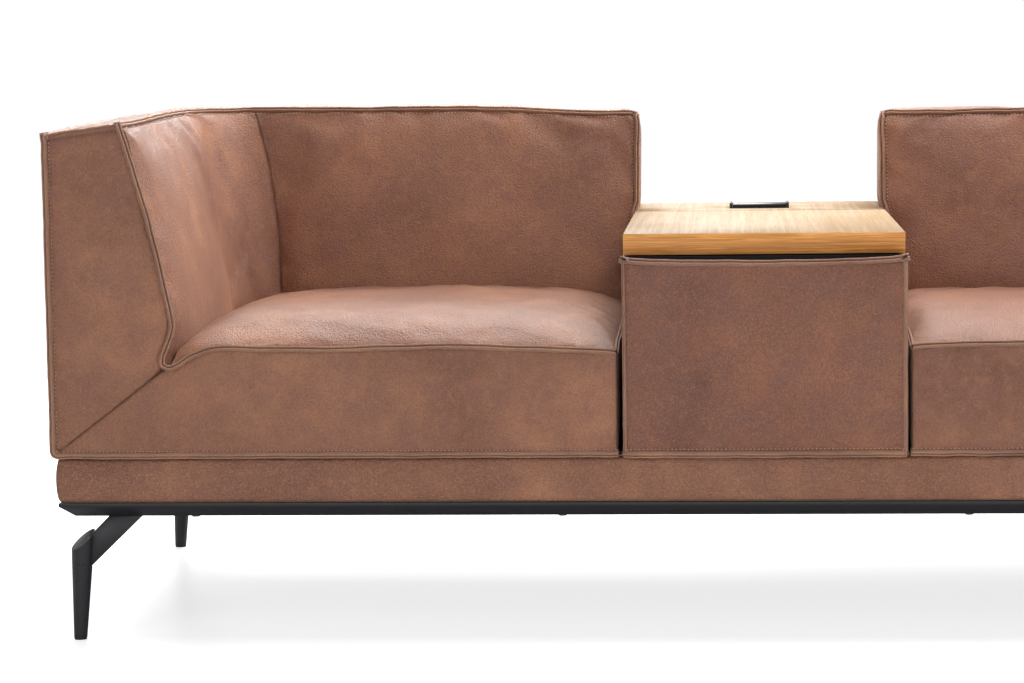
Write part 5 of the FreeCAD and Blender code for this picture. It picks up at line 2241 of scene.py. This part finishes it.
@dataclass
class HardPieces:
    """Steel, timber, board, oak and plastic pieces, with softened edges."""

    finishes: Finishes  # The sofa's materials
    steel_edge: float = 0.8 * MM  # Width of the steel's rounded edges
    oak_edge: float = 1.0 * MM  # Width of the oak's
    foam_edge: float = 6 * MM  # Width of the foam's
    outlet_edges: Pair = (0.5 * MM, 0.6 * MM)  # Width of those of the cable outlet's frame and flap
    flat_angle: float = math.radians(1.0)  # Faces that meet at less than this are one
    edge_angle: float = math.radians(28)  # Faces that meet at more than this have an edge to round
    leg_cut_low: float = 120 * MM  # Height above which a leg's points belong to its cut top
    leg_tilt: float = 0.42  # How much a leg's cut top also falls along the sofa's depth, as a slope

    def softened(
        self, node: str, body: str, finish: str, width: float, tilt: float = 0.0
    ) -> bpy.types.Object:
        """Replace a CAD node with a copy of it whose edges are rounded.

        Args:
            node: Name of the CAD node.
            body: Body that it moves with.
            finish: Name of its finish.
            width: Width of the rounding.
            tilt: How much a leg's cut top also falls towards -Y, as a slope.

        Returns:
            The copy.
        """
        mesh = bmesh.new()
        mesh.from_mesh(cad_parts[node].data)
        bmesh.ops.remove_doubles(mesh, verts=mesh.verts, dist=0.01 * MM)
        bmesh.ops.dissolve_limit(
            mesh, angle_limit=self.flat_angle, verts=mesh.verts, edges=mesh.edges
        )
        bmesh.ops.recalc_face_normals(mesh, faces=mesh.faces)
        if tilt:
            top = [vert for vert in mesh.verts if vert.co.z > self.leg_cut_low]
            middle = sum(vert.co.y for vert in top) / len(top)
            for vert in top:
                vert.co.z += tilt * (vert.co.y - middle)
        data = bpy.data.meshes.new(f"{node}_soft")
        mesh.to_mesh(data)
        mesh.free()
        data.materials.append(self.finishes[finish])
        piece = new_object(f"{node}_soft", data)
        bevel = piece.modifiers.new("edges", "BEVEL")
        bevel.width = width
        bevel.segments = 2
        bevel.limit_method = "ANGLE"
        bevel.angle_limit = self.edge_angle
        bevel.harden_normals = True
        apply_modifiers(piece)
        for face in piece.data.polygons:
            face.use_smooth = True
        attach(piece, body)
        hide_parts(node)
        return piece

    def dress(self, finish: str, *nodes: str) -> None:
        """Give CAD nodes that stay as they are a better material.

        Args:
            finish: Name of the finish.
            *nodes: The CAD nodes.
        """
        for node in nodes:
            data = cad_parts[node].data
            data.materials.clear()
            data.materials.append(self.finishes[finish])

    def oak(self, node: str, body: str) -> None:
        """Oak board: veneer on top and below, edge bands round it.

        Args:
            node: Name of the CAD node.
            body: Body that it moves with.
        """
        board = self.softened(node, body, "oak_top_painted_reflection", self.oak_edge)
        board.data.materials.append(self.finishes["oak_edge"])
        # Faces on top and below get the paler oak with its painted reflection; the sides get the
        # edge oak.
        for face in board.data.polygons:
            face.material_index = int(abs(face.normal.z) < 0.7)

    def build(self) -> None:
        """Build the base, what is inside, and the console's hard pieces."""
        words = [side.word for side in Side]
        for node in [f"frame_bar_{place}" for place in ["front", "rear"] + words] + ["leg_struts"]:
            self.softened(node, "sofa", "steel", self.steel_edge)
        for end, tilt in (("front", self.leg_tilt), ("rear", -self.leg_tilt)):
            for word in words:
                leg = self.softened(
                    f"leg_{end}_{word}", "sofa", "steel", self.steel_edge, tilt
                )
                # The leg's up-facing cut top takes the lighter coat: painted light on a face lit
                # from above.
                leg.data.materials.append(self.finishes["steel_painted_top_light"])
                for face in leg.data.polygons:
                    face.material_index = int(face.normal.z > 0.4)
        for word in words:
            foam = self.softened(f"seat_foam_{word}", "sofa", "foam", self.foam_edge)
            self.dress("timber", *(f"{node}_{word}" for node in
                                   ("seat_front_rail", "arm_board", "back_board")))
            # Console boards: black paint, darkened further as painted shade in the gap under the
            # lid.
            self.dress("board", f"console_board_{word}")
        self.dress("timber", "base_rail_front", "base_rail_rear", "base_cross_rails")
        self.dress("rubber", "foot_glides", "lid_buffers")
        self.dress("zinc", "frame_screws", "hinge_leaf_fixed", "hinge_leaf_moving", "hinge_pin")
        # Console floor and end boards: black paint, darkened further as painted shade.
        self.dress("board", "console_floor", "console_end_boards")
        self.oak("console_lid", "lid")
        self.oak("console_top_rear", "sofa")
        rim, flap = self.outlet_edges
        self.softened("cable_port_frame", "sofa", "plastic", rim)
        self.softened("cable_flap", "flap", "plastic", flap)


@dataclass
class Underside:
    """Thin cloth under the base and the straps under the seats."""

    sag: float = 1.0 * MM  # How far the cloth hangs in its middle
    straps_per_seat: int = 6  # Number of straps that run across each seat
    strap_width: float = 60 * MM  # Width of a strap
    strap_sag: float = 2.0 * MM  # How far a strap hangs in its middle

    def build_cloth(self, finishes: Finishes) -> None:
        """Build the cloth as one stretched sheet.

        Args:
            finishes: The sofa's materials.
        """
        low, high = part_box("dust_cloth")
        rows = [
            [
                (
                    low.x + (high.x - low.x) * u,
                    low.y + (high.y - low.y) * v,
                    high.z - self.sag * math.sin(math.pi * u) * math.sin(math.pi * v),
                )
                for v in np.linspace(0, 1, 13)
            ]
            for u in np.linspace(0, 1, 33)
        ]
        draft = Draft()
        draft.grid(np.array(rows), Panel.PLINTH)
        cloth = draft.finish("under_cloth", finishes["cloth"])
        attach(cloth, "sofa")
        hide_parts("dust_cloth")

    def build_straps(self, finishes: Finishes) -> None:
        """Build the straps that carry the seats' foam.

        Args:
            finishes: The sofa's materials.
        """
        low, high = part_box("seat_webbing")
        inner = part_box("seat_foam_right")[0].x
        pitch = (high.y - low.y - self.strap_width) / (self.straps_per_seat - 1)
        middles = [
            (side.value * (inner + high.x) / 2, low.y + self.strap_width / 2 + pitch * index,
             (low.z + high.z) / 2)
            for side in Side for index in range(self.straps_per_seat)
        ]
        data = bpy.data.meshes.new("strap_middles")
        data.from_pydata(middles, [], [])
        values = {
            "Width": self.strap_width,
            "Length": high.x - inner,
            "Thickness": high.z - low.z,
            "Sag": self.strap_sag,
            "Webbing": finishes["webbing"],
        }
        straps = repeated(strap_tree(), data, "seat_straps", values)
        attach(straps, "sofa")
        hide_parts("seat_webbing")


@dataclass
class Studio:
    """Camera, lamps, floor and background.

    The camera is the one that a fit of the photograph's edges gives.
    """

    lens: float = 106.7  # Its focal length in millimetres
    place: Triple = (-0.0471, -4.8791, 0.8876)  # Where it stands
    yaw: float = 0.0727  # How far it is turned to the left, in radians
    pitch: float = 0.0983  # How far it looks down
    roll: float = 0.0137  # How far it leans
    sky: float = 0.25  # Strength of the background as a light
    glow: float = 0.62  # Light that the floor adds where the camera sees it
    floor_reach: float = 14.0  # Half width of the floor

    def build_camera(self) -> None:
        """Create the camera and make it the scene's own."""
        data = bpy.data.cameras.new("camera")
        data.lens = self.lens
        data.sensor_width = 36.0
        data.sensor_fit = "HORIZONTAL"
        camera = new_object("camera", data)
        turn = (
            Matrix.Rotation(self.yaw, 4, "Z")
            @ Matrix.Rotation(math.pi / 2 - self.pitch, 4, "X")
            @ Matrix.Rotation(-self.roll, 4, "Z")
        )
        camera.matrix_world = Matrix.Translation(self.place) @ turn
        bpy.context.scene.camera = camera

    def lamp(
        self, name: str, place: Triple, aim: Triple, size: Pair, power: float
    ) -> None:
        """Add a soft rectangular lamp.

        Args:
            name: Name of the lamp.
            place: Where it hangs.
            aim: What it points at.
            size: Its two side lengths.
            power: Its watts.
        """
        data = bpy.data.lights.new(name, "AREA")
        data.shape = "RECTANGLE"
        data.size, data.size_y = size
        data.energy = power
        lamp = new_object(name, data)
        lamp.location = place
        lamp.rotation_euler = (Vector(aim) - Vector(place)).to_track_quat("-Z", "Y").to_euler()

    def build_world(self) -> None:
        """White to the camera and to reflections, softer as a light."""
        world = bpy.data.worlds.new("studio")
        bpy.context.scene.world = world
        world.use_nodes = True
        world.node_tree.nodes.clear()
        wiring = Wiring(world.node_tree)
        path = wiring.node("ShaderNodeLightPath").outputs
        seen = wiring.maths("MAXIMUM", path["Is Camera Ray"], path["Is Transmission Ray"])
        seen = wiring.maths("MAXIMUM", seen, path["Is Glossy Ray"])
        mix = wiring.node("ShaderNodeMixShader", {0: seen})
        for index, strength in ((1, self.sky), (2, 1.0)):
            inputs = {"Color": (1.0, 1.0, 1.0), "Strength": strength}
            light = wiring.node("ShaderNodeBackground", inputs)
            wiring.feed(light.outputs[0], mix.inputs[index])
        wiring.node("ShaderNodeOutputWorld", {"Surface": mix.outputs[0]})

    def build_floor(self) -> None:
        """Large pale floor that turns white away from the sofa's shadow."""
        data = bpy.data.meshes.new("floor")
        reach = self.floor_reach
        corners = [(-reach, -reach, 0), (reach, -reach, 0), (reach, reach, 0), (-reach, reach, 0)]
        data.from_pydata(corners, [], [(0, 1, 2, 3)])
        floor = new_object("floor", data)
        material, wiring, shader, _ = new_material("floor")
        inputs = {"Base Color": (0.9, 0.9, 0.9), "Roughness": 0.35, "Specular IOR Level": 0.25}
        wiring.fill(shader, inputs)
        seen = wiring.node("ShaderNodeLightPath").outputs["Is Camera Ray"]
        share = wiring.maths("MULTIPLY", seen, self.glow)
        glow = wiring.node("ShaderNodeEmission", {"Color": (1.0, 1.0, 1.0), "Strength": share})
        add = wiring.node("ShaderNodeAddShader", {0: shader.outputs[0], 1: glow.outputs[0]})
        wiring.fill(material.node_tree.nodes["Material Output"], {"Surface": add.outputs[0]})
        data.materials.append(material)
        floor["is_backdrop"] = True

    def build(self) -> None:
        """Build everything round the sofa."""
        self.build_camera()
        self.build_world()
        self.build_floor()
        self.lamp("over", (0.5, 0.45, 3.0), (0.0, 0.1, 0.5), (3.6, 0.9), 114.0)
        self.lamp("rear", (-0.9, 2.9, 2.3), (-0.4, 0.0, 0.5), (2.0, 1.6), 84.0)
        self.lamp("front", (-2.4, -4.2, 2.4), (0.0, 0.0, 0.4), (2.4, 2.4), 47.0)
        self.lamp("low", (0.0, -3.2, 0.22), (0.0, 0.0, 0.33), (3.0, 0.4), 9.0)
        self.lamp("fill", (3.4, -3.2, 2.0), (0.0, 0.0, 0.4), (2.4, 2.4), 24.0)
        self.lamp("side", (2.8, 0.8, 2.1), (-0.9, 0.0, 0.6), (1.2, 1.2), 66.0)
        bpy.context.scene.view_settings.view_transform = "Standard"


def build_seating(sizes: SofaSizes, finishes: Finishes) -> None:
    """Build the walls and seats of both sides with their seams.

    Args:
        sizes: Sizes that the units share.
        finishes: The sofa's materials.
    """
    for side in Side:
        work = SeamWork(f"seams_{side.word}", seed=700 + 10 * side.value)
        wall = WallUnit(side, sizes).build(finishes, work)
        cushion = SeatUnit(side, sizes)
        seat = cushion.build(finishes)
        cushion.add_seams(work)
        work.build(finishes, (wall, seat))


def build_covers(sizes: SofaSizes, finishes: Finishes) -> None:
    """Build the leather of the console and of the plinth.

    Args:
        sizes: Sizes that the units share.
        finishes: The sofa's materials.
    """
    console = RingCover(
        "console_leather", out=sizes.console_out, ends=(-sizes.half_depth, sizes.console_rear),
        levels=(sizes.base_top, sizes.console_top), walls=(19.6 * MM, 7.6 * MM),
        corner=(Join.WELTED, 2.2 * MM), rim=(Join.WELTED, 4.5 * MM), panel=Panel.CONSOLE,
    )
    nodes = (f"console_cover_{end}" for end in ("front", "rear", "left", "right"))
    leather = console.build(finishes["console"], *nodes)
    work = SeamWork("console_seams", seed=640)
    console.add_seams(work, flare=5.0 * MM, sag=4.2 * MM)
    work.build(finishes, (leather,))
    reach = sizes.plinth_reach
    plinth = RingCover(
        "plinth_leather", out=sizes.plinth_out, ends=(-reach, reach),
        levels=(sizes.bar_top, sizes.base_top), walls=(7.6 * MM, 7.6 * MM),
        corner=(Join.ROLLED, 9 * MM), rim=(Join.ROLLED, 6 * MM), panel=Panel.PLINTH,
        bulge=4.5 * MM, middle_seam=True, seed=560,
    )
    ends = ("front_left", "front_right", "left", "right", "rear")
    plinth.build(finishes["plinth"], *(f"plinth_cover_{end}" for end in ends))


def main() -> None:
    """Build the sofa and its studio."""
    logging.basicConfig(level=logging.INFO, format="%(name)s: %(message)s")
    sizes = SofaSizes()
    finishes = Finishes()
    build_seating(sizes, finishes)
    build_covers(sizes, finishes)
    HardPieces(finishes).build()
    underside = Underside()
    underside.build_cloth(finishes)
    underside.build_straps(finishes)
    Studio().build()
    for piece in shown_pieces():
        log.info("%s: %d faces", piece.name, len(piece.data.polygons))


if __name__ == "__main__":
    main()
